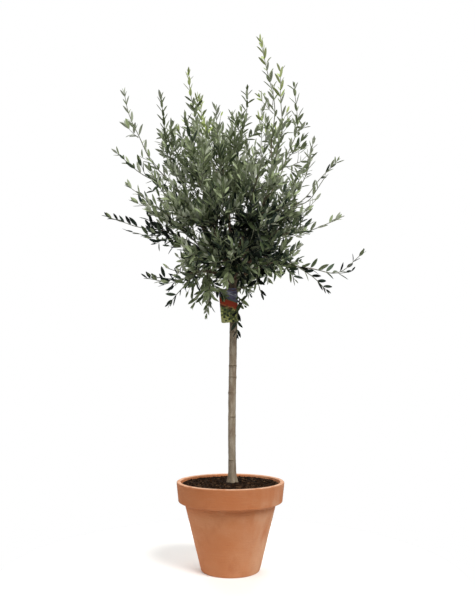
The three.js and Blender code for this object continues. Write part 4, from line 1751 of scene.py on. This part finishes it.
@dataclass(frozen=True)
class ToneRule:
    """How the leaves' tones are dealt out. Tones count by their place in TONES.

    Distances are from the crown's middle, as shares of half its size. Heights are from the ground.
    """

    middle: Size = (0.05, -0.04, 1.00)
    half_size: Size = (0.21, 0.30, 0.20)
    # How strongly a tone counts, and between which distances a spray's own takes over.
    weight: float = 1.35
    own_from: tuple[float, float] = (0.75, 1.05)
    # How much the tones vary from shoot to shoot, and from leaf to leaf.
    shoot_drift: float = 0.8
    leaf_drift: float = 1.5
    # How much deeper their tone is in the middle, as painted shade for the shadow inside the crown,
    # and out to which distances.
    deeper: float = 3.0
    deep_to: tuple[float, float] = (0.3, 0.85)
    # How much paler they are high up, as painted light where the light from above falls, and between
    # which heights that comes in.
    paler: float = 0.9
    pale_from: tuple[float, float] = (0.98, 1.2)
    # The darkest that a leaf at the top may have, where the light comes through the shoots.
    darkest: float = 1.6
    darkest_from: tuple[float, float] = (1.1, 1.3)
    # Where along a fresh shoot its young leaves start, and above which height.
    young_from: float = 0.88
    young_spread: float = 0.1
    young_height: float = 1.33

    def deal(self, plan: SprayPlan, along: Array, roots: Array, draws: np.random.Generator) -> Array:
        """Deals out a shoot's tones: by spray, deeper inside the crown as painted shade, paler high up as
        painted light, and young at fresh tips.

        Args:
            plan: The spray's plan.
            along: Each leaf's share of the way along.
            roots: Where each leaf stands.
            draws: The spray's draws.

        Returns:
            The place of each leaf's tone in TONES.
        """
        height = roots[:, 2]
        out = np.linalg.norm((roots - np.array(self.middle)) / np.array(self.half_size), axis=1)
        common, own = float(TONES.index(OLIVE)), float(TONES.index(plan.shade))
        shade = self.weight * mix(common, own, fade(*self.own_from, out))
        drift = self.shoot_drift * draws.standard_normal()
        drift = drift + self.leaf_drift * draws.standard_normal(len(along))
        # Leaves deep inside the crown get darker tones, as painted shade, and those high up paler ones, as
        # painted light.
        inside = 1.0 - fade(*self.deep_to, out)
        tone = shade + drift - self.deeper * inside + self.paler * fade(*self.pale_from, height)
        tone = np.maximum(tone, self.darkest * fade(*self.darkest_from, height))
        tone = np.clip(np.rint(tone), 0, len(TONES) - 2).astype(int)
        young = plan.fresh & (along > self.young_from - self.young_spread * draws.random(len(along)))
        young &= height > self.young_height
        return np.where(young, len(TONES) - 1, tone)


# A patch fades out between these shares of its radius.
PATCH_EDGE = (0.6, 1.3)


@dataclass(frozen=True)
class Patch:
    """A place where the photograph shows the crown opener, or fuller, than the rule alone makes it.

    x and z are where it is seen against the trunk. share is how much of the foliage stays where it
    is opener, below 1, and above 1 it says how much more there is.
    """

    x: float
    z: float
    radius: float
    share: float

    @classmethod
    def at(cls, column: float, row: float, radius: float, share: float) -> "Patch":
        """A patch by its place in the photograph, in pixels."""
        return cls(*PHOTOGRAPH.place(column, row), radius, share)

    def weight(self, x: Array, z: Array) -> Array:
        """How far each place belongs to the patch, from 0 to 1."""
        inner, outer = (edge * self.radius for edge in PATCH_EDGE)
        return 1.0 - fade(inner, outer, np.hypot(x - self.x, z - self.z))


# Each by the column and the row of its middle, its radius in metres and its share.
PATCHES = (
    # Sky between the sprays on the right.
    Patch.at(312, 184, 0.040, 0.25),
    Patch.at(303, 202, 0.035, 0.2),
    Patch.at(297, 161, 0.030, 0.5),
    Patch.at(287, 181, 0.030, 0.4),
    Patch.at(307, 240, 0.030, 0.6),
    Patch.at(302, 281, 0.030, 0.3),
    Patch.at(260, 178, 0.030, 0.6),
    Patch.at(316, 226, 0.035, 0.35),
    Patch.at(262, 154, 0.035, 0.4),
    Patch.at(266, 140, 0.030, 0.5),
    Patch.at(307, 168, 0.025, 0.5),
    Patch.at(289, 142, 0.020, 0.5),
    Patch.at(324, 214, 0.025, 0.6),
    Patch.at(343, 270, 0.030, 0.4),
    Patch.at(262, 285, 0.020, 0.4),
    Patch.at(248, 304, 0.020, 0.5),
    # Sky at the top.
    Patch.at(283, 75, 0.030, 0.6),
    Patch.at(272, 98, 0.030, 0.5),
    Patch.at(278, 118, 0.028, 0.4),
    Patch.at(253, 124, 0.030, 0.5),
    Patch.at(307, 120, 0.025, 0.5),
    Patch.at(184, 113, 0.030, 0.4),
    Patch.at(221, 120, 0.025, 0.4),
    Patch.at(243, 160, 0.025, 0.5),
    Patch.at(241, 110, 0.025, 0.4),
    Patch.at(180, 134, 0.030, 0.5),
    # Sky on the left.
    Patch.at(136, 148, 0.050, 0.4),
    Patch.at(150, 158, 0.030, 0.3),
    Patch.at(143, 184, 0.035, 0.4),
    Patch.at(160, 199, 0.036, 0.35),
    Patch.at(179, 187, 0.035, 0.35),
    Patch.at(181, 160, 0.030, 0.6),
    Patch.at(218, 175, 0.035, 0.5),
    Patch.at(197, 195, 0.030, 0.6),
    Patch.at(137, 226, 0.030, 0.3),
    Patch.at(132, 243, 0.025, 0.3),
    Patch.at(186, 289, 0.030, 0.4),
    Patch.at(205, 308, 0.020, 0.5),
    Patch.at(155, 272, 0.025, 0.4),
    Patch.at(178, 266, 0.030, 0.4),
    # Tufts that stand close, on the left.
    Patch.at(155, 216, 0.040, 6),
    Patch.at(189, 232, 0.045, 6),
    Patch.at(175, 250, 0.035, 6),
    Patch.at(162, 240, 0.035, 6),
    Patch.at(163, 180, 0.030, 5),
    Patch.at(142, 163, 0.025, 4),
    Patch.at(208, 109, 0.040, 6),
    Patch.at(195, 100, 0.030, 5),
    Patch.at(161, 112, 0.035, 5),
    Patch.at(154, 136, 0.030, 5),
    Patch.at(172, 147, 0.030, 4),
    Patch.at(193, 170, 0.030, 4),
    Patch.at(200, 284, 0.025, 4),
    Patch.at(173, 282, 0.025, 5),
    Patch.at(176, 309, 0.035, 6),
    Patch.at(220, 286, 0.030, 6),
    # Tufts in the middle and on the right.
    Patch.at(271, 165, 0.025, 4),
    Patch.at(275, 198, 0.040, 3),
    Patch.at(291, 240, 0.030, 4),
    Patch.at(300, 256, 0.030, 5),
    Patch.at(278, 274, 0.035, 6),
    Patch.at(325, 198, 0.035, 6),
    Patch.at(298, 176, 0.025, 3),
    Patch.at(323, 163, 0.030, 5),
    Patch.at(337, 158, 0.030, 4),
    Patch.at(304, 148, 0.030, 5),
    Patch.at(290, 97, 0.025, 4),
    Patch.at(288, 129, 0.028, 5),
    Patch.at(260, 101, 0.035, 5),
    Patch.at(241, 146, 0.030, 4),
    Patch.at(247, 293, 0.030, 5),
    Patch.at(260, 296, 0.020, 4),
    Patch.at(242, 192, 0.030, 4),
    Patch.at(232, 222, 0.035, 5),
)


@dataclass
class Crown:
    """The crown: every spray's stem, twigs and leaves, grown on from the boughs by the source's rule.

    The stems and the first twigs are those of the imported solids. Finer side shoots and leaves of
    their real size follow the same rule, within the same space.
    """

    wood: Wood
    label: Label
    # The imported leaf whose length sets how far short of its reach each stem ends.
    solid_leaf: float = 0.066
    stem_radius: float = 0.0012
    ring: float = 0.00255
    wood_spacing: float = 0.003
    twig_spacing: float = 0.010
    # The source's rule for twigs. Shares are of the stem's length.
    twig_most: int = 4
    twig_first: float = 0.08
    twig_last: float = 0.60
    twig_open: float = 40.0
    twig_open_spread: float = 14.0
    twig_share: float = 0.44
    twig_spread: float = 0.3
    rise: float = 0.55
    sag: float = -0.3
    twig_radius: float = 0.0011
    twig_margin: float = 0.0018
    trials: tuple[float, ...] = (1.0, 0.8, 0.6, 0.42)
    tested: int = 10
    # Finer side shoots: how far apart they stand, and between which shares of their parent.
    side_spacing: float = 0.0208
    side_first: float = 0.03
    side_last: float = 0.84
    # So many are tried that a plan or a patch changes only how many of them grow.
    side_most: float = 4.5
    # How gradually the dense growth inside the crown ends, and the extra shoots in a full patch.
    core_end: float = 0.15
    tuft: float = 0.3
    # Their length, how much shorter they get further out, and how much they differ.
    side_length: float = 0.090
    side_shrink: float = 0.5
    side_least: float = 0.7
    side_spread: float = 0.6
    side_open: float = 38.0
    side_rise: float = 0.4
    side_margin: float = 0.0008
    # Where along a side shoot the patches are asked.
    side_asked: float = 0.6
    # Leaves, at their real size and spacing.
    leaf_length: float = 0.0335
    leaf_spread: float = 0.36
    leaf_spacing: float = 0.0125
    # From this share of its shoot on a leaf is smaller, down to this size, and smaller yet at the tip.
    small_from: float = 0.75
    small_size: float = 0.82
    tip_size: float = 0.75
    # How much a leaf bows down along its length, and how much that varies.
    bow: float = 0.03
    bow_spread: float = 0.06
    # Spare sprays have their leaves further apart, and below this no twigs beside their stem.
    spare_length: float = 1.05
    spare_spacing: float = 2.1
    bare_below: float = 0.25
    # How soon a spray's leaves close up as its plan gets finer.
    leafiness: float = 1.3
    # Where along a twig the patches are asked, and how much has to stay there.
    twig_asked: tuple[float, ...] = (0.5, 0.8, 1.1)
    gap_share: float = 0.5
    # How wide the leaves stand open, in degrees. The pair at the tip is nearly closed.
    open_at_foot: float = 56.0
    open_at_tip: float = 32.0
    open_spread: float = 9.0
    tip_at: float = 0.985
    tip_open: float = 14.0
    tip_open_spread: float = 5.0
    closings: tuple[float, ...] = (1.0, 0.7, 0.45)
    # How far, in radians, each leaf is turned out of its place round the shoot, and about itself.
    pair_turn: float = 0.25
    roll: float = 0.7
    reach_for_light: float = 0.5
    face_the_light: float = 0.55
    face_outward: float = 2.5
    # A spray that ends at a lower angle than this hangs, and its leaves don't reach up.
    hanging_below: float = -20.0
    leaf_margin: float = 0.0004
    seed_step: int = 500
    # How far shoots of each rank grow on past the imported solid's own wood.
    tips: Mapping[ShootRank, float] = field(default_factory=lambda: {
        ShootRank.STEM: 0.052, ShootRank.TWIG: 0.038, ShootRank.SIDE: 0.0,
    })
    # A shoot's wood: how far apart its rings are, how it tapers, and the swelling at its foot.
    shoot_step: float = 0.008
    shoot_taper: float = 0.8
    fork: float = 0.006
    fork_swell: float = 0.5
    blade: Blade = field(default_factory=Blade)
    toning: ToneRule = field(default_factory=ToneRule)
    # The shoots on the boughs: how dense they are, and between which shares of the bough.
    on_bough: float = 2.6
    bough_share: tuple[float, float] = (0.35, 0.92)
    bough_seed: int = 100
    sprays: list[Spray] = field(default_factory=list)
    on_boughs: list[Spray] = field(default_factory=list)
    space: Space = field(default_factory=Space)

    def fullness(self, points: Array) -> tuple[Array, Array]:
        """How much of the foliage stays at each point, and how much more there is, by the patches.

        Args:
            points: The points.

        Returns:
            The share that stays, and the extra one.
        """
        distance, eye = PHOTOGRAPH.distance, PHOTOGRAPH.eye_height
        near = distance / (distance + points[..., 1])
        x, z = points[..., 0] * near, eye + (points[..., 2] - eye) * near
        stays, extra = np.ones_like(x), np.zeros_like(x)
        for patch in PATCHES:
            weight = patch.weight(x, z)
            stays = stays * mix(1.0, min(patch.share, 1.0), weight)
            extra = np.maximum(extra, self.tuft * max(0.0, patch.share - 1.0) * weight)
        return stays, extra

    def near_label(self, points: Array) -> Array:
        """Whether each point is in the room that is kept free round the label."""
        label = self.label
        beside = np.abs(points[:, 0] - label.middle_x) < label.width / 2 + 2 * label.room
        before = np.abs(points[:, 1] + label.front) < label.room
        top, bottom = label.top_z + label.room, label.top_z - label.height - label.room
        return beside & before & (points[:, 2] < top) & (points[:, 2] > bottom)

    def stand_sprays(self, plan: BoughPlan, bough: Sweep) -> list[tuple[SprayPlan, Sweep]]:
        """The stems of a bough's sprays, on a ring round its end, each on the side that it heads for.

        Args:
            plan: The bough's plan.
            bough: Its curve.

        Returns:
            Each spray's plan with the curve of its stem.
        """
        end, axis = bough.points(1.0), bough.tangents(1.0)
        side = square_to(axis, across_bearing(plan.bearing))
        other = np.cross(axis, side)
        wanted = []
        for spray in plan.sprays:
            arrive = heading(spray.bearing, spray.lift)
            target = self.wood.out_from(spray.bearing, spray.reach, spray.height) - arrive * self.solid_leaf
            away = square_to(axis, target - end)
            turn = math.atan2(float(away @ other), float(away @ side))
            wanted.append((turn, spray, target, arrive))
        wanted.sort(key=lambda one: one[0])
        step = 2.0 * np.pi / len(wanted)
        shift = sum(one[0] - i * step for i, one in enumerate(wanted)) / len(wanted)
        stems = {}
        for i, (_, spray, target, arrive) in enumerate(wanted):
            foot = end + round_axis(axis, side, shift + i * step) * self.ring + axis * CLEARANCE
            stems[spray.name] = Sweep(foot, axis, target, arrive)
        return [(spray, stems[spray.name]) for spray in plan.sprays]

    def sprout_line(self) -> Sweep:
        """The curve of the weak sprout on the trunk."""
        plan, wood = SPROUT_PLAN, self.wood
        foot = wood.point(SPROUT_FOOT) + heading(SPROUT_BEARING, 0.0) * (wood.radius + CLEARANCE)
        end = wood.out_from(plan.bearing, plan.reach, plan.height + SPROUT_SPARE)
        return Sweep(foot, heading(SPROUT_BEARING, 10.0), end, heading(plan.bearing, plan.lift))

    def start_sprays(self) -> None:
        """Starts every spray with its stem, and claims the space of the stems and the wood."""
        wood = self.wood
        self.space.claim(Space.WOOD, wood.line, wood.length(), wood.radius, self.wood_spacing)
        stems = []
        for plan in BOUGH_PLANS:
            bough = wood.bough_line(plan)
            self.space.claim(Space.WOOD, bough.points, bough.size, wood.bough_foot_radius, self.wood_spacing)
            stems.extend(self.stand_sprays(plan, bough))
        stems.append((SPROUT_PLAN, self.sprout_line()))
        for i, (plan, stem) in enumerate(stems):
            self.sprays.append(Spray(plan, i + 1, stem))
            self.space.claim(i + 1, stem.points, stem.size, self.stem_radius, self.twig_spacing)

    def fits(self, spray: Spray, line: Sweep, margin: float) -> bool:
        """Whether a twig stays in its spray's space, past where it is still beside its parent."""
        points = line.points(np.arange(2, self.tested + 1) / self.tested)
        return bool((self.space.depth(spray.seed, points) > margin).all())

    def twig_line(self, foot: Array, leave: Array, arrive: Array, size: float) -> Sweep:
        """The curve of a twig of some length."""
        return Sweep(foot, leave, foot + unit(leave + arrive) * size, arrive)

    def grow_twigs(self, spray: Spray) -> None:
        """Grows a spray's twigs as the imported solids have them.

        They leave the stem in turn round it and bend towards the light, or down on a spray that
        hangs. Each is kept whole, shortened or skipped, so that it stays in its own space.

        Args:
            spray: The spray.
        """
        draws = SeededDraws(spray.seed)
        reference = across_bearing(spray.plan.bearing)
        length = spray.stem.size
        count = nearest_count(self.twig_most * spray.plan.fill)
        rise = self.rise if spray.plan.lift > 0 else self.sag
        phase = 2.0 * np.pi * draws.draw()
        for k in range(count):
            along = mix(self.twig_first, self.twig_last, (k + draws.draw()) / count)
            wide = math.radians(self.twig_open + self.twig_open_spread * draws.draw())
            spread = 1.0 + self.twig_spread * (draws.draw() - 0.5)
            size = length * self.twig_share * (1.1 - along) * spread
            axis = spray.stem.tangents(along)
            leave = opened(axis, round_axis(axis, reference, phase + k * GOLDEN_ANGLE), wide)
            arrive = unit(leave + UP * rise)
            foot = spray.stem.points(along)
            tries = (self.twig_line(foot, leave, arrive, size * share) for share in self.trials)
            kept = next((line for line in tries if self.fits(spray, line, self.twig_margin)), None)
            if kept is not None:
                spray.twigs.append(kept)

    def grow_side_shoots(self, spray: Spray) -> list[Sweep]:
        """Grows the finer side shoots of a spray's stem and twigs, by the same rule.

        Args:
            spray: The spray.

        Returns:
            Their curves.
        """
        draws = np.random.default_rng(spray.seed)
        plan = spray.plan
        upright = float(fade(0.0, 45.0, np.array(plan.lift)))
        rise = self.side_rise * upright if plan.lift > 0 else self.sag
        core = 0.0 if plan is SPROUT_PLAN else plan.inner
        grown = self.side_shoots(spray, spray.stem, core, rise, draws)
        for twig in self.leafy_twigs(spray):
            grown.extend(self.side_shoots(spray, twig, 0.0, rise, draws))
        return grown

    def side_shoots(
        self, spray: Spray, parent: Sweep, core: float, rise: float, draws: np.random.Generator
    ) -> list[Sweep]:
        """Grows the side shoots along one limb.

        Args:
            spray: The spray that they belong to.
            parent: The limb that bears them.
            core: How many there are at its foot, inside the crown, as the plan's fine says further out.
            rise: How strongly they bend up.
            draws: The spray's draws.

        Returns:
            Their curves.
        """
        plan = spray.plan
        reference = across_bearing(plan.bearing)
        room = parent.size * (self.side_last - self.side_first)
        count = nearest_count(room / self.side_spacing * self.side_most)
        turn = 2.0 * np.pi * draws.random() + np.arange(count) * GOLDEN_ANGLE
        place, opening, reach, fate = draws.random((4, count))
        along = mix(self.side_first, self.side_last, (np.arange(count) + place) / count)
        wide = np.radians(self.side_open + self.twig_open_spread * opening)
        spread = self.side_least + self.side_spread * reach
        sizes = self.side_length * (1.0 - self.side_shrink * along) * spread
        axes, feet = parent.tangents(along), parent.points(along)
        starts = opened(axes, round_axis(axes, reference, turn), wide)
        inside = 1.0 - fade(plan.bushy - self.core_end, plan.bushy + self.core_end, along)
        stays, extra = self.fullness(feet + starts * sizes[:, None] * self.side_asked)
        chance = (plan.fine + max(0.0, core - plan.fine) * inside) * stays + extra
        grown = []
        for k in np.flatnonzero(fate * self.side_most < chance):
            foot, leave, size = feet[k], starts[k], float(sizes[k])
            arrive = unit(leave + UP * rise)
            tries = (self.twig_line(foot, leave, arrive, size * share) for share in self.trials)
            kept = next((line for line in tries if self.fits(spray, line, self.side_margin)), None)
            if kept is not None:
                grown.append(kept)
        return grown

    def leafy_twigs(self, spray: Spray) -> list[Sweep]:
        """The twigs that bear leaves: those outside the gaps, and none where an arm shows bare.

        Args:
            spray: The spray.

        Returns:
            Their curves.
        """
        if spray.plan.fine <= self.bare_below:
            return []
        kept = []
        for twig in spray.twigs:
            stays, _ = self.fullness(twig.points(np.array(self.twig_asked)))
            if stays.mean() > self.gap_share:
                kept.append(twig)
        return kept

    def grow_on_bough(self, plan: BoughPlan, seed: int) -> Spray:
        """Grows short leafy shoots on a bough itself, so that the crown is full inside.

        Args:
            plan: The bough's plan.
            seed: The seed of its draws, which also owns its space.

        Returns:
            The shoots, as a spray.
        """
        bough = self.wood.bough_line(plan)
        end = (plan.bearing, plan.reach, plan.height, plan.lift)
        # Their own tone is the deepest, painted shade for shoots inside the crown.
        inner = SprayPlan(plan.name, *end, 0.0, self.on_bough, LeafTone.DEEP)
        spray = Spray(inner, seed, bough)
        first, last = self.bough_share

        def leafy(along: Array) -> Array:
            """The part of the bough that bears shoots."""
            return bough.points(mix(first, last, along))

        self.space.claim(seed, leafy, bough.size * (last - first), self.stem_radius, self.twig_spacing)
        draws = np.random.default_rng(seed)
        lines = self.side_shoots(spray, bough, 0.0, self.side_rise, draws)
        spray.shoots.extend(self.shoot(line, ShootRank.SIDE, spray, draws) for line in lines)
        self.claim_shoots(spray)
        return spray

    def claim_shoots(self, spray: Spray) -> None:
        """Claims the space along every shoot of a spray."""
        for shoot in spray.shoots:
            self.space.claim(spray.seed, shoot.points, shoot.length(), self.twig_radius, self.twig_spacing)

    def shoot(self, line: Sweep, rank: ShootRank, spray: Spray, draws: np.random.Generator) -> Shoot:
        """A shoot with its own small wander, grown on to where the solid's last leaf ends."""
        tip = self.tips[rank] * (0.85 + 0.15 * draws.random())
        return Shoot(line, rank, across_bearing(spray.plan.bearing), draws.random(2), tip)

    def grow_wood(self) -> None:
        """Grows every stem, twig and side shoot, each rank after the one that bears it."""
        self.start_sprays()
        for spray in self.sprays:
            self.grow_twigs(spray)
        for spray in self.sprays:
            for twig in spray.twigs:
                self.space.claim(spray.seed, twig.points, twig.size, self.twig_radius, self.twig_spacing)
        sides = [self.grow_side_shoots(spray) for spray in self.sprays]
        for spray, lines in zip(self.sprays, sides):
            draws = np.random.default_rng(spray.seed + self.seed_step)
            spray.shoots.append(self.shoot(spray.stem, ShootRank.STEM, spray, draws))
            twigs = self.leafy_twigs(spray)
            spray.shoots.extend(self.shoot(line, ShootRank.TWIG, spray, draws) for line in twigs)
            spray.shoots.extend(self.shoot(line, ShootRank.SIDE, spray, draws) for line in lines)
            self.claim_shoots(spray)
        for i, plan in enumerate(BOUGH_PLANS):
            self.on_boughs.append(self.grow_on_bough(plan, self.bough_seed + i))

    def leaf_places(self, shoot: Shoot, spacing: float, phase: float) -> tuple[Array, Array, Array]:
        """Where the leaves stand along a shoot: opposite pairs, each a quarter turn from the last.

        Args:
            shoot: The shoot.
            spacing: How far apart the pairs are.
            phase: The turn of its first pair.

        Returns:
            Each leaf's share of the way along, its turn round the shoot, and 1 for the pair at the tip.
        """
        first = shoot.rank.first_leaf
        pairs = max(1, nearest_count(shoot.length() * (1.0 - first) / spacing))
        pair = np.arange(pairs)
        along = mix(first, 1.0, (pair + 1.0 / 3.0) / pairs)
        turn = phase + pair * np.pi / 2.0
        end_turn = phase + pairs * np.pi / 2.0
        along = np.concatenate((np.repeat(along, 2), (self.tip_at, self.tip_at)))
        opposite = np.stack((turn, turn + np.pi), axis=-1).ravel()
        turn = np.concatenate((opposite, (end_turn, end_turn + np.pi)))
        at_tip = np.zeros(len(along))
        at_tip[-2:] = 1.0
        return along, turn, at_tip

    def grow_leaves(self, spray: Spray, shoot: Shoot, draws: np.random.Generator, crop: LeafCrop) -> None:
        """Grows the leaves of one shoot. One that doesn't fit is closed up to its shoot, or skipped.

        Args:
            spray: The shoot's spray.
            shoot: The shoot.
            draws: The spray's draws.
            crop: Takes the leaves that fit.
        """
        full = min(1.0, self.leafiness * spray.plan.fine)
        spacing = self.leaf_spacing * mix(self.spare_spacing, 1.0, full)
        along, turn, at_tip = self.leaf_places(shoot, spacing, np.pi * draws.random())
        count = len(along)
        root, tangent = shoot.points(along), shoot.tangents(along)
        turn = turn + self.pair_turn * (draws.random(count) - 0.5)
        away = round_axis(tangent, shoot.reference, turn)
        wide = mix(self.open_at_foot, self.open_at_tip, along)
        wide = wide + self.open_spread * draws.standard_normal(count)
        wide = np.where(at_tip > 0, self.tip_open + self.tip_open_spread * draws.random(count), wide)
        size = 1.0 + self.leaf_spread * (draws.random(count) - 0.5)
        smaller = mix(1.0, self.small_size, fade(self.small_from, 1.0, along))
        size *= smaller * np.where(at_tip > 0, self.tip_size, 1.0)
        length = self.leaf_length * mix(self.spare_length, 1.0, full) * size
        roll = self.roll * (draws.random(count) - 0.5)
        bow = self.bow + self.bow_spread * draws.standard_normal(count)
        level = 1.0 - np.abs(tangent[:, 2:])
        waiting = draws.random(count) < self.fullness(root)[0]
        tones = self.toning.deal(spray.plan, along, root, draws)
        for closing in self.closings:
            axis = opened(tangent, away, np.radians(wide * closing))
            axis = unit(axis + UP * self.reach_for_light * level * (spray.plan.lift > self.hanging_below))
            right = self.turn_blade(root, axis, away, tangent, roll, level)
            fit = waiting & self.leaf_fits(spray, root, axis, right, length)
            crop.roots.append(root[fit])
            crop.axes.append(axis[fit])
            crop.rights.append(right[fit])
            crop.lengths.append(length[fit])
            crop.bows.append(bow[fit])
            crop.tones.append(tones[fit])
            waiting &= ~fit

    def turn_blade(
        self, root: Array, axis: Array, away: Array, tangent: Array, roll: Array, level: Array
    ) -> Array:
        """Turns each blade about its own length: its upper side to its shoot's tip, and to the light.

        Those of a hanging shoot turn outward as well.

        Args:
            root: Each leaf's root.
            axis: Each leaf's direction.
            away: The side of the shoot that it stands on.
            tangent: The shoot's direction there.
            roll: Each leaf's own turn, in radians.
            level: How near to level the shoot is, from 0 to 1.

        Returns:
            The direction of each blade's right edge.
        """
        right = square_to(axis, np.cross(away, tangent))
        face = np.cross(right, axis)
        outward = unit((root - self.wood.point(self.wood.top)) * np.array((1.0, 1.0, 0.0)))
        hanging = fade(0.3, 0.8, -tangent[:, 2:])
        # The last term keeps the turn steady where a blade lies square to the light.
        light = UP + self.face_outward * hanging * outward + 0.001 * face
        turn = np.arctan2(dot(light, right), dot(light, face))[:, 0]
        turn = roll + self.face_the_light * np.maximum(level, hanging)[:, 0] * turn
        return right * np.cos(turn)[:, None] - face * np.sin(turn)[:, None]

    def leaf_fits(self, spray: Spray, root: Array, axis: Array, right: Array, length: Array) -> Array:
        """Whether each leaf keeps to its own spray's space and off the label, by its edges and tip.

        Args:
            spray: The spray.
            root: Each leaf's root.
            axis: Its direction.
            right: The direction of its right edge.
            length: Its length.

        Returns:
            True for each leaf that fits.
        """
        along, side = self.blade.edge_places().T
        size = length[:, None, None]
        points = root[:, None] + size * (axis[:, None] * along[:, None] + right[:, None] * side[:, None])
        flat = points.reshape(-1, 3)
        free = (self.space.depth(spray.seed, flat) > self.leaf_margin) & ~self.near_label(flat)
        return free.reshape(len(length), -1).all(axis=1)

    def add_shoot(self, draft: MeshDraft, shoot: Shoot) -> None:
        """Adds a shoot's own wood: brown bark on the older half of a stem, and green beyond.

        Args:
            draft: The draft of the twigs.
            shoot: The shoot.
        """
        length = shoot.length()
        steps = max(4, int(length / self.shoot_step))
        along = np.linspace(0.0, 1.0, steps + 1)
        foot, tip = shoot.rank.radii
        points = shoot.points(along)
        if shoot.rank is ShootRank.STEM:
            # The stem's foot is sunk in its bough, with the swelling of a fork.
            points[0] -= shoot.line.leave * self.fork
        swell = 1.0 + self.fork_swell * np.exp(-along * length / self.fork)
        radii = mix(foot, tip, along**self.shoot_taper) * swell
        sides = shoot.rank.sides
        browned = np.repeat(along[:-1] < 0.5, sides) & (shoot.rank is ShootRank.STEM)
        finish = np.concatenate((np.where(browned, 0, 1), np.zeros(sides), np.ones(sides))).astype(int)
        draft.add(*limb(points, radii, sides, shoot.reference), finish)

    def build(self) -> list[bpy.types.Object]:
        """Grows the crown and makes its pieces: the twigs and the leaves of each bough.

        Returns:
            The pieces.
        """
        self.grow_wood()
        pieces = []
        start = 0
        groups = [(plan.name, len(plan.sprays)) for plan in BOUGH_PLANS] + [("sprout", 1)]
        for i, (name, count) in enumerate(groups):
            sprays = self.sprays[start : start + count]
            start += count
            nodes = [spray.plan.node for spray in sprays]
            sprays = sprays + self.on_boughs[i : i + 1]
            twigs, crop = MeshDraft(), LeafCrop()
            for spray in sprays:
                draws = np.random.default_rng(spray.seed + 2 * self.seed_step)
                for shoot in spray.shoots:
                    self.add_shoot(twigs, shoot)
                    self.grow_leaves(spray, shoot, draws, crop)
            leaves = MeshDraft()
            leaves.add(*self.blade.grow(crop))
            finishes = [side for tone in TONES for side in (tone.upper(), tone.under())]
            twig_piece = twigs.make(f"twigs_{name}", (BROWN_SHOOT, YOUNG_SHOOT))
            pieces.append(mount_piece(twig_piece, nodes))
            pieces.append(mount_piece(leaves.make(f"leaves_{name}", finishes), nodes))
        return pieces


@dataclass
class Studio:
    """A pale floor, soft light all round, and the photograph's camera, which is level."""

    sensor: float = 36.0
    floor_radius: float = 0.70
    floor_sides: int = 96
    farthest: float = 100.0
    sky: float = 0.20
    # Each lamp's strength, its bearing and height in degrees, and how wide it is seen.
    lamps: tuple[tuple[str, float, float, float, float], ...] = (
        ("key", 3.0, -50.0, 48.0, 28.0),
        ("fill", 1.2, -150.0, 40.0, 50.0),
        ("back", 1.8, 95.0, 60.0, 50.0),
    )

    def build(self) -> bpy.types.Object:
        """Lays the floor, lights it and sets up the camera.

        Returns:
            The floor.
        """
        floor = self.lay_floor()
        self.light()
        self.aim()
        return floor

    def lay_floor(self) -> bpy.types.Object:
        """Makes the floor, a wide disc that the pot stands on."""
        draft = MeshDraft()
        rim = circle(turns(self.floor_sides)) * self.floor_radius
        draft.add(rim, [np.arange(self.floor_sides)[None]])
        floor = draft.make("studio_floor", (STUDIO_FLOOR,))
        return floor

    def light(self) -> None:
        """Lights the scene with an even white room and three large, soft lamps.

        They come from three sides, so that the floor stays white in the shadow of any one of them.
        """
        world = bpy.data.worlds.new("studio_room")
        bpy.context.scene.world = world
        world.use_nodes = True
        tree = world.node_tree
        tree.nodes.clear()
        seen = add_node(tree, "ShaderNodeLightPath").outputs["Is Camera Ray"]
        limits = {"Value": seen, "To Min": self.sky, "To Max": 1.0}
        strength = add_node(tree, "ShaderNodeMapRange", inputs=limits)
        inputs = {"Color": linear("#ffffff"), "Strength": strength.outputs["Result"]}
        room = add_node(tree, "ShaderNodeBackground", inputs=inputs)
        add_node(tree, "ShaderNodeOutputWorld", inputs={"Surface": room.outputs["Background"]})
        for name, energy, bearing, height, spread in self.lamps:
            lamp = bpy.data.lights.new(f"{name}_lamp", "SUN")
            lamp.energy = energy
            lamp.angle = math.radians(spread)
            holder = bpy.data.objects.new(lamp.name, lamp)
            holder.rotation_mode = "QUATERNION"
            holder.rotation_quaternion = Vector(heading(bearing, height)).to_track_quat("Z", "Y")
            bpy.context.scene.collection.objects.link(holder)

    def aim(self) -> None:
        """Sets the camera level in front of the plant, framed as the photograph is."""
        lens = bpy.data.cameras.new("camera")
        lens.sensor_width = self.sensor
        photo = PHOTOGRAPH
        lens.lens = self.sensor * photo.focal / photo.height
        lens.shift_x = (photo.width / 2.0 - photo.axis_column) / photo.height
        lens.shift_y = (photo.horizon_row - photo.height / 2.0) / photo.height
        lens.clip_end = self.farthest
        camera = bpy.data.objects.new("camera", lens)
        camera.location = (0.0, -photo.distance, photo.eye_height)
        camera.rotation_euler = (math.radians(90.0), 0.0, 0.0)
        bpy.context.scene.collection.objects.link(camera)
        bpy.context.scene.camera = camera
        bpy.context.scene.view_settings.view_transform = "Standard"


def report(pieces: Iterable[bpy.types.Object]) -> None:
    """Logs each piece with the number of its faces."""
    for piece in pieces:
        LOG.info("%s: %d faces", piece.name, len(piece.data.polygons))


def main() -> None:
    """Builds the plant from the pot up, and then the studio round it."""
    logging.basicConfig(level=logging.INFO, format="%(message)s")
    pot = Pot()
    wood = Wood(pot)
    label = Label(wood)
    report([pot.build()])
    report(Soil(pot).build())
    report([wood.build()])
    report(label.build())
    report(Crown(wood, label).build())
    report([Studio().build()])


if __name__ == "__main__":
    main()
